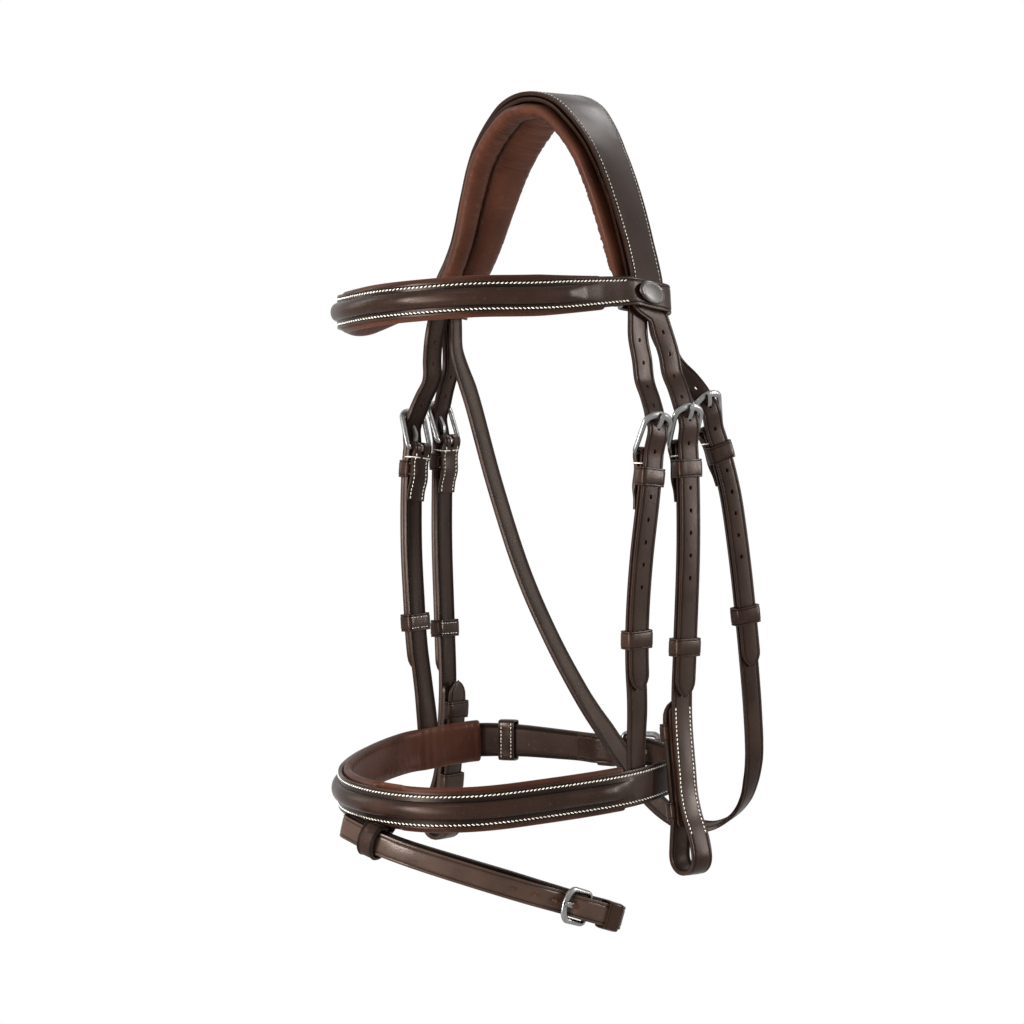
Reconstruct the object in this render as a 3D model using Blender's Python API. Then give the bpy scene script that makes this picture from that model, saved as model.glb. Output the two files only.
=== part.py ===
"""Flash noseband bridle, buckled up and hung by its poll. Metres, +Z up.

The horse would face -Y, so the near (left) side is +X and the off side is -X.
The origin is the underside of the poll pad, at its middle.
Straps are ribbons laid along routes. A place on a route is a distance along it,
an offset outwards from the head and a shift across the strap.
"""

import math

import bmesh
import bpy
from mathutils import Matrix, Vector

# The head that the bridle is shaped to
head_half_width = 0.100
head_depth = 0.200
bridle_drop = 0.500

# Leather
strap_width = 0.0165
strap_thickness = 0.0026
edge_inset = 0.0006
lay_gap = 0.0003
ribbon_step = 0.0135
ring_step = 0.0090
crown_ease = 0.0009
crown_width_poll = 0.048
crown_width_side = 0.029
throat_width = 0.0145
throat_sewn_width = 0.0112
throat_sewn_shift = 0.0085
nose_sewn_shift = 0.0066
browband_width = 0.0215
browband_loop_width = 0.0185
noseband_width = 0.0235
noseband_rear_width = 0.0190
noseband_taper = 0.110
roll_width = 0.0115
roll_height = 0.0042
roll_taper = 0.022
flash_width = 0.0145

# Padding
crown_pad_width_poll = 0.056
crown_pad_width_side = 0.036
crown_pad_thickness = 0.0095
band_pad_thickness = 0.0062
browband_pad_width = 0.0250
noseband_pad_width = 0.0285
pad_end_length = 0.012
pocket_room = 0.0008

# Buckles
buckle_wire = 0.0032
buckle_side_room = 0.0011
buckle_spacing = 0.0298
buckle_length = 0.0270
flash_buckle_length = 0.0200
buckle_corner = 0.0030
pivot_clearance = 0.0003
tongue_width = 0.0026
tongue_thickness = 0.0016
tongue_hole_height = 0.0049
tongue_hole_width = 0.0054
tongue_hole_lift = 0.00045
tongue_hole_depth = 0.0110
tongue_overreach = 0.0030
slot_room = 0.0006

# Keepers
keeper_length = 0.0118
keeper_thickness = 0.0013
keeper_clearance = 0.0003
loose_clearance = 0.0007
fixed_keeper_drop = 0.0145
fold_return = 0.0360

# Billets
punch_diameter = 0.0030
punch_pitch = 0.0145
cheek_tip_drop = 0.162
nose_tip_drop = 0.152
throat_tip_drop = 0.158
cheek_keeper_drop = 0.130
nose_keeper_drop = 0.119
throat_keeper_drop = 0.124
noseband_tip_drop = 0.106
noseband_keeper_drop = 0.094

# Bit ends
bit_radius = 0.0107
bit_axis_offset = 0.0010
bit_flare_length = 0.0415
bit_return_length = 0.0995
stud_strap_above = 0.0965
stud_strap_below = 0.0195
stud_place_above = 0.0560
stud_post = 0.0030
stud_head = 0.0058
stud_head_thickness = 0.0016
upper_bit_keeper_above = 0.0805
lower_bit_keeper_above = 0.0300
bit_keeper_slack = 0.0008

# Browband ends
loop_clearance = 0.0022
loop_return = 0.0330
loop_neck = 0.0160
button_length = 0.0215
button_height = 0.0145
button_thickness = 0.0026

# Flash
flash_setback = 0.0050
flash_bar_from_end = 0.0270
flash_tip_drop = 0.0225
flash_return = 0.0165
flash_keeper_drop = 0.0156
flash_keeper_length = 0.0105
flash_left_spacing = 0.0062
flash_hold = 0.0480
flash_back_shift = 0.0020
flash_loop_width = 0.0125
flash_loop_thickness = 0.0016
flash_loop_clearance = 0.0010
flash_tab_height = 0.0120
flash_tab_gap = 0.0014

# One overrun serves every cutter
cut_overrun = 0.004

# Counts
punched_holes = 9
holes_above = 2
curve_steps = 14
fold_steps = 8
round_steps = 6
bit_steps = 9

# Places as shares of (head_half_width, head_depth, bridle_drop)
crown_shares = (
    (0.000, 0.000, 0.030),
    (0.200, 0.000, 0.021),
    (0.380, -0.002, -0.008),
    (0.540, -0.004, -0.050),
    (0.670, -0.002, -0.102),
    (0.790, -0.005, -0.160),
    (0.895, -0.020, -0.206),
    (0.945, -0.036, -0.230),
    (0.972, -0.044, -0.256),
)
crown_facing_shares = (
    (0.00, 0.00, 1.00),
    (0.45, 0.04, 0.89),
    (0.70, 0.10, 0.70),
    (0.85, 0.18, 0.50),
    (0.93, 0.14, 0.35),
    (0.97, 0.07, 0.20),
    (1.00, 0.00, 0.15),
    (1.00, 0.00, 0.15),
    (1.00, 0.00, 0.12),
)
cheek_shares = (
    (0.995, -0.018, -0.282),
    (1.045, 0.020, -0.325),
    (1.100, 0.034, -0.380),
    (1.135, 0.040, -0.430),
    (1.150, 0.042, -0.500),
    (1.150, 0.042, -0.580),
    (1.125, 0.042, -0.690),
    (1.110, 0.042, -0.776),
    (1.145, 0.045, -0.860),
    (1.180, 0.046, -0.920),
    (1.195, 0.047, -0.970),
    (1.200, 0.048, -1.030),
)
cheek_facing_shares = ((1.00, -0.10, 0.00),) * len(cheek_shares)
# (half width, buckle spacing in front of the cheekpiece, drop) shares
nose_shares = (
    (0.992, 0.752, -0.282),
    (1.045, 0.819, -0.346),
    (1.083, 0.899, -0.394),
    (1.110, 1.000, -0.442),
    (1.105, 1.101, -0.500),
    (1.075, 1.195, -0.576),
    (1.045, 1.208, -0.650),
    (1.030, 1.168, -0.710),
    (1.015, 1.060, -0.765),
)
nose_facing_shares = ((1.00, -0.06, 0.00),) * len(nose_shares)
throat_shares = (
    (0.984, -0.038, -0.282),
    (1.003, 0.021, -0.310),
    (1.030, 0.075, -0.332),
    (1.055, 0.122, -0.356),
    (1.085, 0.156, -0.384),
    (1.108, 0.185, -0.414),
    (1.124, 0.211, -0.444),
    (1.140, 0.252, -0.500),
    (1.148, 0.290, -0.580),
    (1.152, 0.318, -0.654),
    (1.152, 0.342, -0.720),
    (1.150, 0.364, -0.794),
    (1.130, 0.378, -0.856),
    (1.070, 0.362, -0.908),
    (0.960, 0.316, -0.934),
    (0.800, 0.284, -0.940),
    (0.620, 0.262, -0.929),
    (0.460, 0.226, -0.900),
    (0.330, 0.180, -0.856),
    (0.190, 0.146, -0.812),
    (0.050, 0.128, -0.776),
    (-0.170, 0.090, -0.700),
    (-0.400, 0.060, -0.608),
    (-0.640, 0.045, -0.492),
    (-0.850, 0.036, -0.376),
    (-0.935, 0.004, -0.310),
)
throat_facing_shares = (
    (1.00, -0.15, 0.00),
    (1.00, -0.18, 0.00),
    (1.00, -0.20, 0.00),
    (1.00, -0.20, 0.00),
    (1.00, -0.20, 0.00),
    (1.00, -0.20, 0.00),
    (1.00, -0.20, 0.00),
    (1.00, -0.20, 0.00),
    (1.00, -0.20, 0.00),
    (1.00, -0.20, 0.00),
    (1.00, -0.20, -0.10),
    (1.00, -0.15, -0.25),
    (0.90, -0.10, -0.60),
    (0.60, 0.10, -1.00),
    (0.30, 0.30, -1.00),
    (0.10, 0.50, -1.00),
    (-0.20, 0.60, -1.00),
    (-0.60, 0.60, -0.80),
    (-0.80, 0.50, -0.50),
    (-0.90, 0.30, -0.35),
    (-0.95, 0.10, -0.25),
    (-1.00, 0.00, -0.20),
    (-1.00, 0.00, -0.20),
    (-1.00, 0.00, -0.20),
    (-1.00, 0.00, -0.10),
    (-1.00, 0.00, 0.00),
)
browband_shares = (
    (-0.860, -0.460, -0.262),
    (-0.640, -0.655, -0.260),
    (-0.330, -0.765, -0.258),
    (0.000, -0.795, -0.252),
    (0.330, -0.765, -0.247),
    (0.640, -0.655, -0.242),
    (0.860, -0.460, -0.240),
)
noseband_shares = (
    (0.160, 0.272),
    (-0.080, 0.240),
    (-0.330, 0.215),
    (-0.680, 0.172),
    (-0.915, 0.098),
    (-0.985, 0.000),
    (-1.025, -0.110),
    (-1.020, -0.250),
    (-0.860, -0.470),
    (-0.590, -0.675),
    (-0.310, -0.785),
    (0.000, -0.830),
    (0.300, -0.822),
    (0.560, -0.765),
    (0.770, -0.640),
    (0.920, -0.430),
    (1.015, -0.240),
    (1.030, -0.110),
    (0.990, 0.010),
    (0.920, 0.115),
    (0.740, 0.235),
    (0.500, 0.270),
    (0.320, 0.278),
)
noseband_height_share = -0.857
noseband_roll_share = -0.0083
noseband_pitch_share = 0.0335
flash_shares = (
    (-0.110, -0.893, -0.911),
    (0.170, -0.885, -0.927),
    (0.420, -0.835, -0.943),
    (0.720, -0.710, -0.967),
    (0.940, -0.560, -0.991),
    (1.060, -0.400, -1.013),
    (1.140, -0.240, -1.034),
)
flash_facing_shares = (
    (0.15, -1.00, 0.00),
    (0.22, -1.00, 0.00),
    (0.40, -1.00, 0.00),
    (0.65, -0.80, 0.00),
    (0.85, -0.55, 0.00),
    (0.95, -0.40, 0.00),
    (1.00, -0.30, 0.00),
)

# Heights as shares of bridle_drop
cheek_bar_share = -0.432
nose_bar_share = -0.442
throat_bar_share = -0.414
browband_height_share = -0.240
bit_centre_share = -0.963
throat_start_share = -0.140
cheek_depth_share = 0.042
hanger_share = (1.032, 0.953)
noseband_pad_start_share = (-1.000, 0.150)
throat_sewn_heights = (-0.268, -0.256, -0.230, -0.200, -0.168)
throat_sewn_run = 0.070
throat_clear_share = -0.270
narrowing_shares = (0.10, 0.80)

# Round and square strap ends, as (distance, width) shares of half the strap
round_tip_shares = ((1.30, 1.00), (0.90, 0.96), (0.52, 0.80), (0.22, 0.55), (0.05, 0.28))
square_tip_shares = ((0.30, 1.00), (0.00, 0.86))

# A billet comes from behind the buckle's round end and rises over the folded strap end:
# (distance as a share of the buckle's length, offset in strap thicknesses over the strap)
billet_rise_shares = (
    (1.75, -0.35),
    (1.40, 0.45),
    (1.15, 0.92),
    (0.98, 1.18),
    (0.84, 1.44),
    (0.72, 1.90),
    (0.61, 2.20),
    (0.51, 2.25),
    (0.41, 2.10),
    (0.31, 1.80),
    (0.12, 1.25),
)
flash_rise_shares = (
    (1.75, -0.35),
    (1.40, -0.80),
    (1.15, -1.03),
    (0.98, -1.05),
    (0.84, -1.00),
    (0.72, -0.62),
    (0.61, -0.12),
    (0.51, 0.42),
    (0.41, 0.84),
    (0.31, 1.00),
    (0.12, 1.00),
)
arch_share = 0.55
# Base colours and roughness of the leather, its lining and the steel
leather_colour = (0.035, 0.022, 0.018)
leather_roughness = 0.38
lining_colour = (0.14, 0.055, 0.035)
lining_roughness = 0.55
steel_colour = (0.55, 0.53, 0.50)
steel_roughness = 0.28

# How each kind of buckle leans out from its strap, the prong's rise over its frame and the
# place of the prong's hole in the billet, as (distance, height) shares
buckle_lean_angle = 24.0
prong_shares = ((0.40, 0.10), (0.61, 0.40), (0.82, 0.86), (1.00, 1.00))
hole_share = (0.700, 0.52)
flash_lean_angle = 14.0
flash_prong_shares = ((0.40, 0.34), (0.61, 0.50), (0.82, 0.86), (1.00, 1.00))
flash_hole_share = (0.585, 0.50)

# The flare of a bit loop: (distance, offset) shares
bit_flare_shares = ((1.00, 0.00), (0.64, 0.24), (0.37, 0.68), (0.12, 0.95))
bit_return_shares = ((0.10, 0.92), (0.30, 0.62), (0.52, 0.20), (0.80, 0.00))

# A stud: (distance, radius) shares of its length and head
stud_shares = ((0.00, 0.50), (0.78, 0.50), (0.79, 1.00), (0.92, 0.92), (1.00, 0.50))
# A button's dome: (height, size) shares
button_shares = ((0.00, 0.94), (0.12, 1.00), (0.40, 1.00), (0.72, 0.86), (0.92, 0.58), (1.00, 0.30))

# Cushion outline, as (across, depth) shares: two rolls with a channel between
crown_pad_shares = (
    (-0.50, 0.30), (-0.47, 0.62), (-0.36, 0.94), (-0.24, 1.00), (-0.12, 0.86), (0.00, 0.58),
    (0.12, 0.86), (0.24, 1.00), (0.36, 0.94), (0.47, 0.62), (0.50, 0.30), (0.46, 0.00),
    (0.20, 0.00), (-0.20, 0.00), (-0.46, 0.00),
)
band_pad_shares = (
    (-0.50, 0.32), (-0.46, 0.66), (-0.33, 0.94), (0.00, 1.00), (0.33, 0.94), (0.46, 0.66),
    (0.50, 0.32), (0.45, 0.00), (0.15, 0.00), (-0.15, 0.00), (-0.45, 0.00),
)
pad_end_shares = ((0.00, 0.45), (0.25, 0.75), (1.00, 1.00))

# The raised roll's section, as (across, height) shares
roll_shares = ((-0.50, 0.00), (-0.30, 0.78), (0.00, 1.00), (0.30, 0.78), (0.50, 0.00))

strap_pitch = strap_thickness + lay_gap


def clear_scene():
    for existing in list(bpy.data.objects):
        bpy.data.objects.remove(existing, do_unlink=True)


def finish(name, look):
    """A piece's own material: base colour, roughness and metallic."""
    colour, roughness, metallic = look
    material = bpy.data.materials.new(name + "_finish")
    material.use_nodes = True
    shader = material.node_tree.nodes["Principled BSDF"]
    shader.inputs["Base Color"].default_value = (*colour, 1.0)
    shader.inputs["Roughness"].default_value = roughness
    shader.inputs["Metallic"].default_value = metallic
    material.diffuse_color = (*colour, 1.0)
    return material


def place(shares):
    return Vector((shares[0] * head_half_width, shares[1] * head_depth, shares[2] * bridle_drop))


class Route:
    """A smooth line through places, with a facing at each, measured by distance."""

    def __init__(self, places, facings, closed=False):
        count = len(places)
        spans = count if closed else count - 1
        self.closed = closed
        self.points = []
        self.facings = []
        for span in range(spans):
            for step in range(curve_steps):
                self.sample(places, facings, span, step / curve_steps)
        if not closed:
            self.points.append(places[-1].copy())
            self.facings.append(facings[-1].copy())
        self.distances = [0.0]
        ends = self.points[1:] + (self.points[:1] if closed else [])
        for start, end in zip(self.points, ends):
            self.distances.append(self.distances[-1] + (end - start).length)
        self.length = self.distances[-1]

    def sample(self, places, facings, span, part):
        count = len(places)

        def pick(values, index):
            if self.closed:
                return values[index % count]
            if index < 0:
                return values[0] * 2 - values[1]
            if index >= count:
                return values[-1] * 2 - values[-2]
            return values[index]

        before, start, end, after = (pick(places, span + i) for i in (-1, 0, 1, 2))
        slope_start = (end - before) / 2
        slope_end = (after - start) / 2
        square = part * part
        cube = square * part
        point = start * (2 * cube - 3 * square + 1) + slope_start * (cube - 2 * square + part)
        point += end * (3 * square - 2 * cube) + slope_end * (cube - square)
        self.points.append(point)
        self.facings.append(pick(facings, span).lerp(pick(facings, span + 1), part))

    def spot(self, distance):
        """Point and facing at a distance, running straight on past the ends."""
        if self.closed:
            distance %= self.length
        last = len(self.distances) - 2
        index = 0
        while index < last and self.distances[index + 1] < distance:
            index += 1
        start = self.distances[index]
        part = (distance - start) / (self.distances[index + 1] - start)
        following = (index + 1) % len(self.points)
        point = self.points[index].lerp(self.points[following], part)
        held = min(max(part, 0.0), 1.0)
        return point, self.facings[index].lerp(self.facings[following], held)

    def at(self, distance):
        """Point, and the directions along, across and outwards, at a distance."""
        point, facing = self.spot(distance)
        reach = ribbon_step / 2
        along = (self.spot(distance + reach)[0] - self.spot(distance - reach)[0]).normalized()
        outward = (facing - along * facing.dot(along)).normalized()
        return point, along, outward.cross(along), outward

    def at_height(self, height):
        """Distance of the first place below a height, counted from the start."""
        for index in range(len(self.points) - 1):
            upper = self.points[index].z
            lower = self.points[index + 1].z
            if lower <= height <= upper:
                part = (upper - height) / max(upper - lower, 1e-12)
                return self.distances[index] + part * (self.distances[index + 1] - self.distances[index])
        return self.length

    def nearest(self, point):
        lengths = [(place - point).length for place in self.points]
        return self.distances[lengths.index(min(lengths))]


def beside_cheek(shares):
    """A place whose second share counts buckle spacings in front of the cheekpiece."""
    spot = place((shares[0], cheek_depth_share, shares[2]))
    return spot - Vector((0.0, shares[1] * buckle_spacing, 0.0))


def mirrored(vector, side):
    return Vector((vector.x * side, vector.y, vector.z))


def along_route(route, start, end):
    """Distances from start to end: the two ends and the route's shared grid between them."""
    step = route.step
    sign = 1 if end > start else -1
    first, last = sorted((start, end))
    inner = [
        index * step
        for index in range(math.ceil(first / step), math.floor(last / step) + 1)
        if index * step - first > step * 0.3 and last - index * step > step * 0.3
    ]
    return [start] + inner[::sign] + [end]


def route_through(places, facings, closed=False):
    route = Route(places, facings, closed)
    route.step = route.length / round(route.length / ring_step) if closed else ribbon_step
    return route


def side_route(side, shares, facings, extra=(), placed=place):
    places = [place(spot) for spot in crown_shares] + [placed(spot) for spot in shares]
    places = [mirrored(spot, side) for spot in places]
    faces = [mirrored(Vector(spot), side) for spot in crown_facing_shares + facings]
    return route_through(places + [spot for spot, _ in extra], faces + [facing for _, facing in extra])


def laid(route, path, mirror=1):
    """Stations (point, across, outward) of a ribbon through (distance, offset, shift, width) places.

    A fifth number holds the place to the straight line that touches the route at that distance.
    """
    stations = []
    for index, (distance, offset, shift, _, *held) in enumerate(path):
        before = path[max(index - 1, 0)]
        after = path[min(index + 1, len(path) - 1)]
        point, along, across, outward = route.at(held[0] if held else distance)
        if held:
            point = point + along * (distance - held[0])
        across = across * mirror
        run = along * (after[0] - before[0]) + outward * (after[1] - before[1])
        run.normalize()
        normal = outward * along.dot(run) - along * outward.dot(run)
        stations.append((point + outward * offset + across * shift, across, normal))
    return stations


def loft(name, rings, material, closed=False):
    """One closed body through rings of points, with flat ends unless it is closed."""
    mesh = bpy.data.meshes.new(name)
    shape = bmesh.new()
    rows = [[shape.verts.new(point) for point in ring] for ring in rings]
    pairs = list(zip(rows, rows[1:])) + ([(rows[-1], rows[0])] if closed else [])
    count = len(rows[0])
    for first, second in pairs:
        for i in range(count):
            j = (i + 1) % count
            shape.faces.new((first[i], first[j], second[j], second[i]))
    if not closed:
        shape.faces.new(rows[0])
        shape.faces.new(rows[-1])
    bmesh.ops.recalc_face_normals(shape, faces=shape.faces)
    shape.to_mesh(mesh)
    shape.free()
    mesh.materials.append(finish(name, material))
    made = bpy.data.objects.new(name, mesh)
    bpy.context.scene.collection.objects.link(made)
    mesh.shade_smooth()
    mesh.set_sharp_from_angle(angle=math.radians(35))
    return made


def ribbon(name, stations, widths, thickness, material, rolls=None):
    """A strap with a flat section, and a raised roll along it where rolls are given."""
    half = thickness / 2
    rings = []
    for index, ((point, across, outward), width) in enumerate(zip(stations, widths)):
        side = width / 2
        section = [(-side, -half), (side, -half), (side, half)]
        if rolls:
            spread = -min(roll_width, width - edge_inset)
            height = rolls[index] * roll_height
            section += [(part * spread, half + rise * height) for part, rise in roll_shares]
        section += [(-side, half)]
        rings.append([point + across * out + outward * rise for out, rise in section])
    return loft(name, rings, material)


def strap(name, route, path, material, mirror=1, rolls=None):
    stations = laid(route, path, mirror)
    return ribbon(name, stations, [spot[3] for spot in path], strap_thickness, material, rolls)


def tip(distance, offset, width, sign=1, shares=round_tip_shares):
    """Path places that round off a strap end at a distance."""
    return [(distance - sign * part * width / 2, offset, 0.0, wide * width) for part, wide in shares]


def cutter(name, points, faces):
    mesh = bpy.data.meshes.new(name)
    mesh.from_pydata([tuple(point) for point in points], [], faces)
    shape = bmesh.new()
    shape.from_mesh(mesh)
    bmesh.ops.recalc_face_normals(shape, faces=shape.faces)
    shape.to_mesh(mesh)
    shape.free()
    made = bpy.data.objects.new(name, mesh)
    bpy.context.scene.collection.objects.link(made)
    made.hide_render = True
    made.display_type = "WIRE"
    return made


def cut(target, tool):
    modifier = target.modifiers.new(tool.name, "BOOLEAN")
    modifier.operation = "DIFFERENCE"
    modifier.solver = "EXACT"
    modifier.object = tool


def prisms(name, spots):
    """One cutter of oval prisms: (centre, axis, side, half width, half height, half depth) each."""
    points = []
    faces = []
    corners = round_steps
    for centre, axis, side, half_width, half_height, half_depth in spots:
        upright = axis.cross(side).normalized()
        base = len(points)
        for end in (-half_depth, half_depth):
            for corner in range(corners):
                turn = math.tau * (corner + 0.5) / corners
                ring = side * (half_width * math.cos(turn)) + upright * (half_height * math.sin(turn))
                points.append(centre + axis * end + ring)
        for corner in range(corners):
            after = (corner + 1) % corners
            faces.append((base + corner, base + after, base + corners + after, base + corners + corner))
        faces.append([base + corner for corner in range(corners)])
        faces.append([base + corners + corner for corner in range(corners)])
    return cutter(name, points, faces)


def box_cutter(name, matrix, low, high):
    points = [
        matrix @ Vector((x, y, z))
        for x in (low[0], high[0])
        for y in (low[1], high[1])
        for z in (low[2], high[2])
    ]
    faces = [(0, 1, 3, 2), (4, 6, 7, 5), (0, 4, 5, 1), (2, 3, 7, 6), (0, 2, 6, 4), (1, 5, 7, 3)]
    return cutter(name, points, faces)


def route_frame(route, distance, offset=0.0):
    """Matrix at a route place: Y back along the route, Z outwards, X across."""
    point, along, _, outward = route.at(distance)
    backward = -along
    turn = Matrix((backward.cross(outward), backward, outward)).transposed().to_4x4()
    return Matrix.Translation(point + outward * offset) @ turn


def fold_radius():
    return buckle_wire / 2 + pivot_clearance + strap_thickness / 2


def buckle_lean(length):
    """The frame leans out so that the billet passes behind its round end."""
    angle = flash_lean_angle if length == flash_buckle_length else buckle_lean_angle
    return Matrix.Rotation(math.radians(angle), 4, "X")


def arc_path(distance, radius, width, inward=1):
    """Half a turn round a bar under the strap, from the inside to the outside."""
    path = []
    for step in range(fold_steps):
        turn = math.pi * (step / fold_steps - 0.5)
        offset = radius * (math.sin(turn) - inward)
        path.append((distance - radius * math.cos(turn), offset, 0.0, width, distance))
    return path


def fold_path(bar, width, return_length=fold_return, walled=True):
    """Strap end folded round its buckle bar, from the free end inside to the strap outside."""
    layer = strap_pitch
    path = [(bar + return_length, -layer, 0.0, width)]
    if walled:
        closing = fixed_keeper_drop + keeper_length / 2 + lay_gap
        inside = strap_pitch + lay_gap + keeper_thickness
        path.append((bar + closing + 3 * keeper_thickness, -layer, 0.0, width))
        path.append((bar + closing, -inside, 0.0, width))
        path.append((bar + fixed_keeper_drop - keeper_length / 2 - lay_gap, -inside, 0.0, width))
    else:
        path.append((bar + 3 * fold_radius(), -layer, 0.0, width))
        path.append((bar + fold_radius() / 2, -1.9 * fold_radius(), 0.0, width))
    return path + arc_path(bar, fold_radius(), width)


def rise_table(length):
    return flash_rise_shares if length == flash_buckle_length else billet_rise_shares


def billet_offset(distance, length, top=0.0):
    """How far a billet lies outside its strap, at a distance above the buckle's bar."""
    table = rise_table(length)
    share = distance / length
    behind = top * share_between(share, table[3][0], table[0][0])
    for (upper, high), (lower, low) in zip(table, table[1:] + ((0.0, 1.0),)):
        if share >= lower:
            return (low + (high - low) * share_between(share, lower, upper)) * strap_pitch + behind
    return strap_pitch


def billet_path(route, bar, length, tip_drop, width, top=0.0):
    """Billet from above the buckle, behind its round end, then outside the strap to its tip."""
    path = []
    for share, _ in rise_table(length):
        path.append((bar - share * length, billet_offset(share * length, length, top), 0.0, width))
    straight_end = bar + tip_drop - round_tip_shares[0][0] * width / 2
    path += [(distance, strap_pitch, 0.0, width) for distance in along_route(route, bar, straight_end)[:-1]]
    return path + tip(bar + tip_drop, strap_pitch, width)


def buckle_frame(name, matrix, width, length, metal):
    """A wire frame with a straight bar at its origin, straight sides and a round end."""
    half = width / 2 + buckle_side_room + buckle_wire / 2
    rise = half * arch_share
    points = []
    for side, start in ((-1, 1.0), (1, 1.5)):
        for step in range(4):
            turn = math.pi * (start + step / 6)
            x = side * (half - buckle_corner) + buckle_corner * math.cos(turn)
            points.append((x, buckle_corner + buckle_corner * math.sin(turn)))
    for step in range(round_steps + 1):
        turn = math.pi * step / round_steps
        points.append((half * math.cos(turn), length - rise + rise * math.sin(turn)))
    curve = bpy.data.curves.new(name, "CURVE")
    curve.dimensions = "3D"
    curve.bevel_depth = buckle_wire / 2
    curve.bevel_resolution = 1
    spline = curve.splines.new("POLY")
    spline.points.add(len(points) - 1)
    for knot, (x, y) in zip(spline.points, points):
        knot.co = (x, y, 0.0, 1.0)
    spline.use_cyclic_u = True
    curve.materials.append(finish(name, metal))
    made = bpy.data.objects.new(name, curve)
    bpy.context.scene.collection.objects.link(made)
    made.matrix_world = matrix @ buckle_lean(length)
    return made


def tongue_rise():
    return buckle_wire / 2 + pivot_clearance + tongue_thickness / 2


def tongue(name, matrix, length, metal):
    """A flat prong with an eye round the bar, resting over the frame's round end."""
    over = tongue_rise()
    path = []
    for step in range(fold_steps + 1):
        turn = math.radians(-250 + 300 * step / fold_steps)
        path.append((over * math.cos(turn), over * math.sin(turn)))
    bends = flash_prong_shares if length == flash_buckle_length else prong_shares
    path += [(share * length, rise * over) for share, rise in bends]
    path.append((length + tongue_overreach, over - tongue_thickness / 4))
    stations = []
    for index, (up, out) in enumerate(path):
        before = path[max(index - 1, 0)]
        after = path[min(index + 1, len(path) - 1)]
        run = Vector((0.0, after[0] - before[0], after[1] - before[1])).normalized()
        stations.append((Vector((0.0, up, out)), Vector((1.0, 0.0, 0.0)), Vector((0.0, -run.z, run.y))))
    widths = [tongue_width] * (len(path) - 2) + [tongue_width * 0.84, tongue_width * 0.52]
    made = ribbon(name, stations, widths, tongue_thickness, metal)
    made.matrix_world = matrix @ buckle_lean(length)
    return made


def tongue_hole(matrix, length):
    """Where the prong goes through the billet: an oval hole along the prong."""
    tilted = matrix @ buckle_lean(length)
    along, rise = flash_hole_share if length == flash_buckle_length else hole_share
    centre = Vector((0.0, along * length, rise * tongue_rise() + tongue_hole_lift))
    turn = tilted.to_3x3()
    axis = turn @ Vector((0.0, 1.0, 0.0))
    side = turn @ Vector((1.0, 0.0, 0.0))
    size = (tongue_hole_width / 2, tongue_hole_height / 2, tongue_hole_depth / 2)
    return (tilted @ centre, axis, side) + size


def cut_fold(target, matrix):
    """Slot through the fold, in which the tongue's eye turns."""
    half = tongue_width / 2 + slot_room
    reach = tongue_rise() + tongue_thickness / 2 + slot_room
    low = (-half, -reach, -fold_radius() - strap_thickness)
    high = (half, fold_radius() + strap_thickness, fold_radius() + (strap_thickness + lay_gap) / 2)
    cut(target, box_cutter(target.name + "_slot", matrix, low, high))


def punch(route, bar, length, tip_drop, matrix, top=0.0):
    """The row of punched holes down a billet, and the one that the tongue is in."""
    spots = [tongue_hole(matrix, length)]
    first = bar - rise_table(length)[6][0] * length
    radius = punch_diameter / 2
    for step in range(-holes_above, punched_holes - holes_above):
        distance = first + step * punch_pitch
        hidden = abs(distance - bar - fixed_keeper_drop) < keeper_length / 2 + radius
        if step == 0 or hidden or distance > bar + tip_drop - punch_pitch:
            continue
        point, _, across, outward = route.at(distance)
        offset = billet_offset(bar - distance, length, top)
        depth = (strap_thickness + lay_gap) / 2
        spots.append((point + outward * offset, outward, across, radius, radius, depth))
    return spots


def keeper(name, matrix, width, inner, outer, clearance, length, material):
    """A leather band round a stack of straps, which lies between two offsets."""
    half = width / 2 + clearance
    low = inner - clearance
    high = outer + clearance
    corner = min(clearance, (high - low) / 3)
    centres = ((half, high, 0.0), (-half, high, 0.5), (-half, low, 1.0), (half, low, 1.5))
    walls = []
    for growth in (0.0, keeper_thickness):
        loop = []
        for x, z, start in centres:
            for step in range(2):
                turn = math.pi * (start + step / 2)
                reach = corner + growth
                middle_x = x - math.copysign(corner, x)
                middle_z = z - corner if z == high else z + corner
                loop.append((middle_x + reach * math.cos(turn), middle_z + reach * math.sin(turn)))
        walls.append(loop)
    rings = [
        [Vector((x, -length / 2, z)) for x, z in walls[0]],
        [Vector((x, -length / 2, z)) for x, z in walls[1]],
        [Vector((x, length / 2, z)) for x, z in walls[1]],
        [Vector((x, length / 2, z)) for x, z in walls[0]],
    ]
    made = loft(name, rings, material, closed=True)
    made.matrix_world = matrix
    return made


def buckle_keepers(prefix, route, bar, width, low_width, drop, leather):
    """The fixed keeper under a buckle and the loose one lower down, round strap and billet."""
    half = strap_thickness / 2
    high = strap_pitch + half
    matrix = route_frame(route, bar + fixed_keeper_drop)
    keeper(prefix + "_fixed_keeper", matrix, width, -half, high, keeper_clearance, keeper_length, leather)
    matrix = route_frame(route, bar + drop)
    keeper(prefix + "_loose_keeper", matrix, low_width, -half, high, loose_clearance, keeper_length, leather)


def buckle_set(prefix, route, bar, width, length, metal):
    matrix = route_frame(route, bar, -fold_radius())
    buckle_frame(prefix + "_buckle_frame", matrix, width, length, metal)
    tongue(prefix + "_buckle_tongue", matrix, length, metal)
    return matrix


def two_sided(name, routes, paths, material):
    """One strap over the poll: its off half reversed, then its near half."""
    off = laid(routes[-1], paths[-1], -1)[::-1]
    near = laid(routes[1], paths[1], 1)[1:]
    widths = [spot[3] for spot in paths[-1][::-1] + paths[1][1:]]
    return ribbon(name, off + near, widths, strap_thickness, material)


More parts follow.
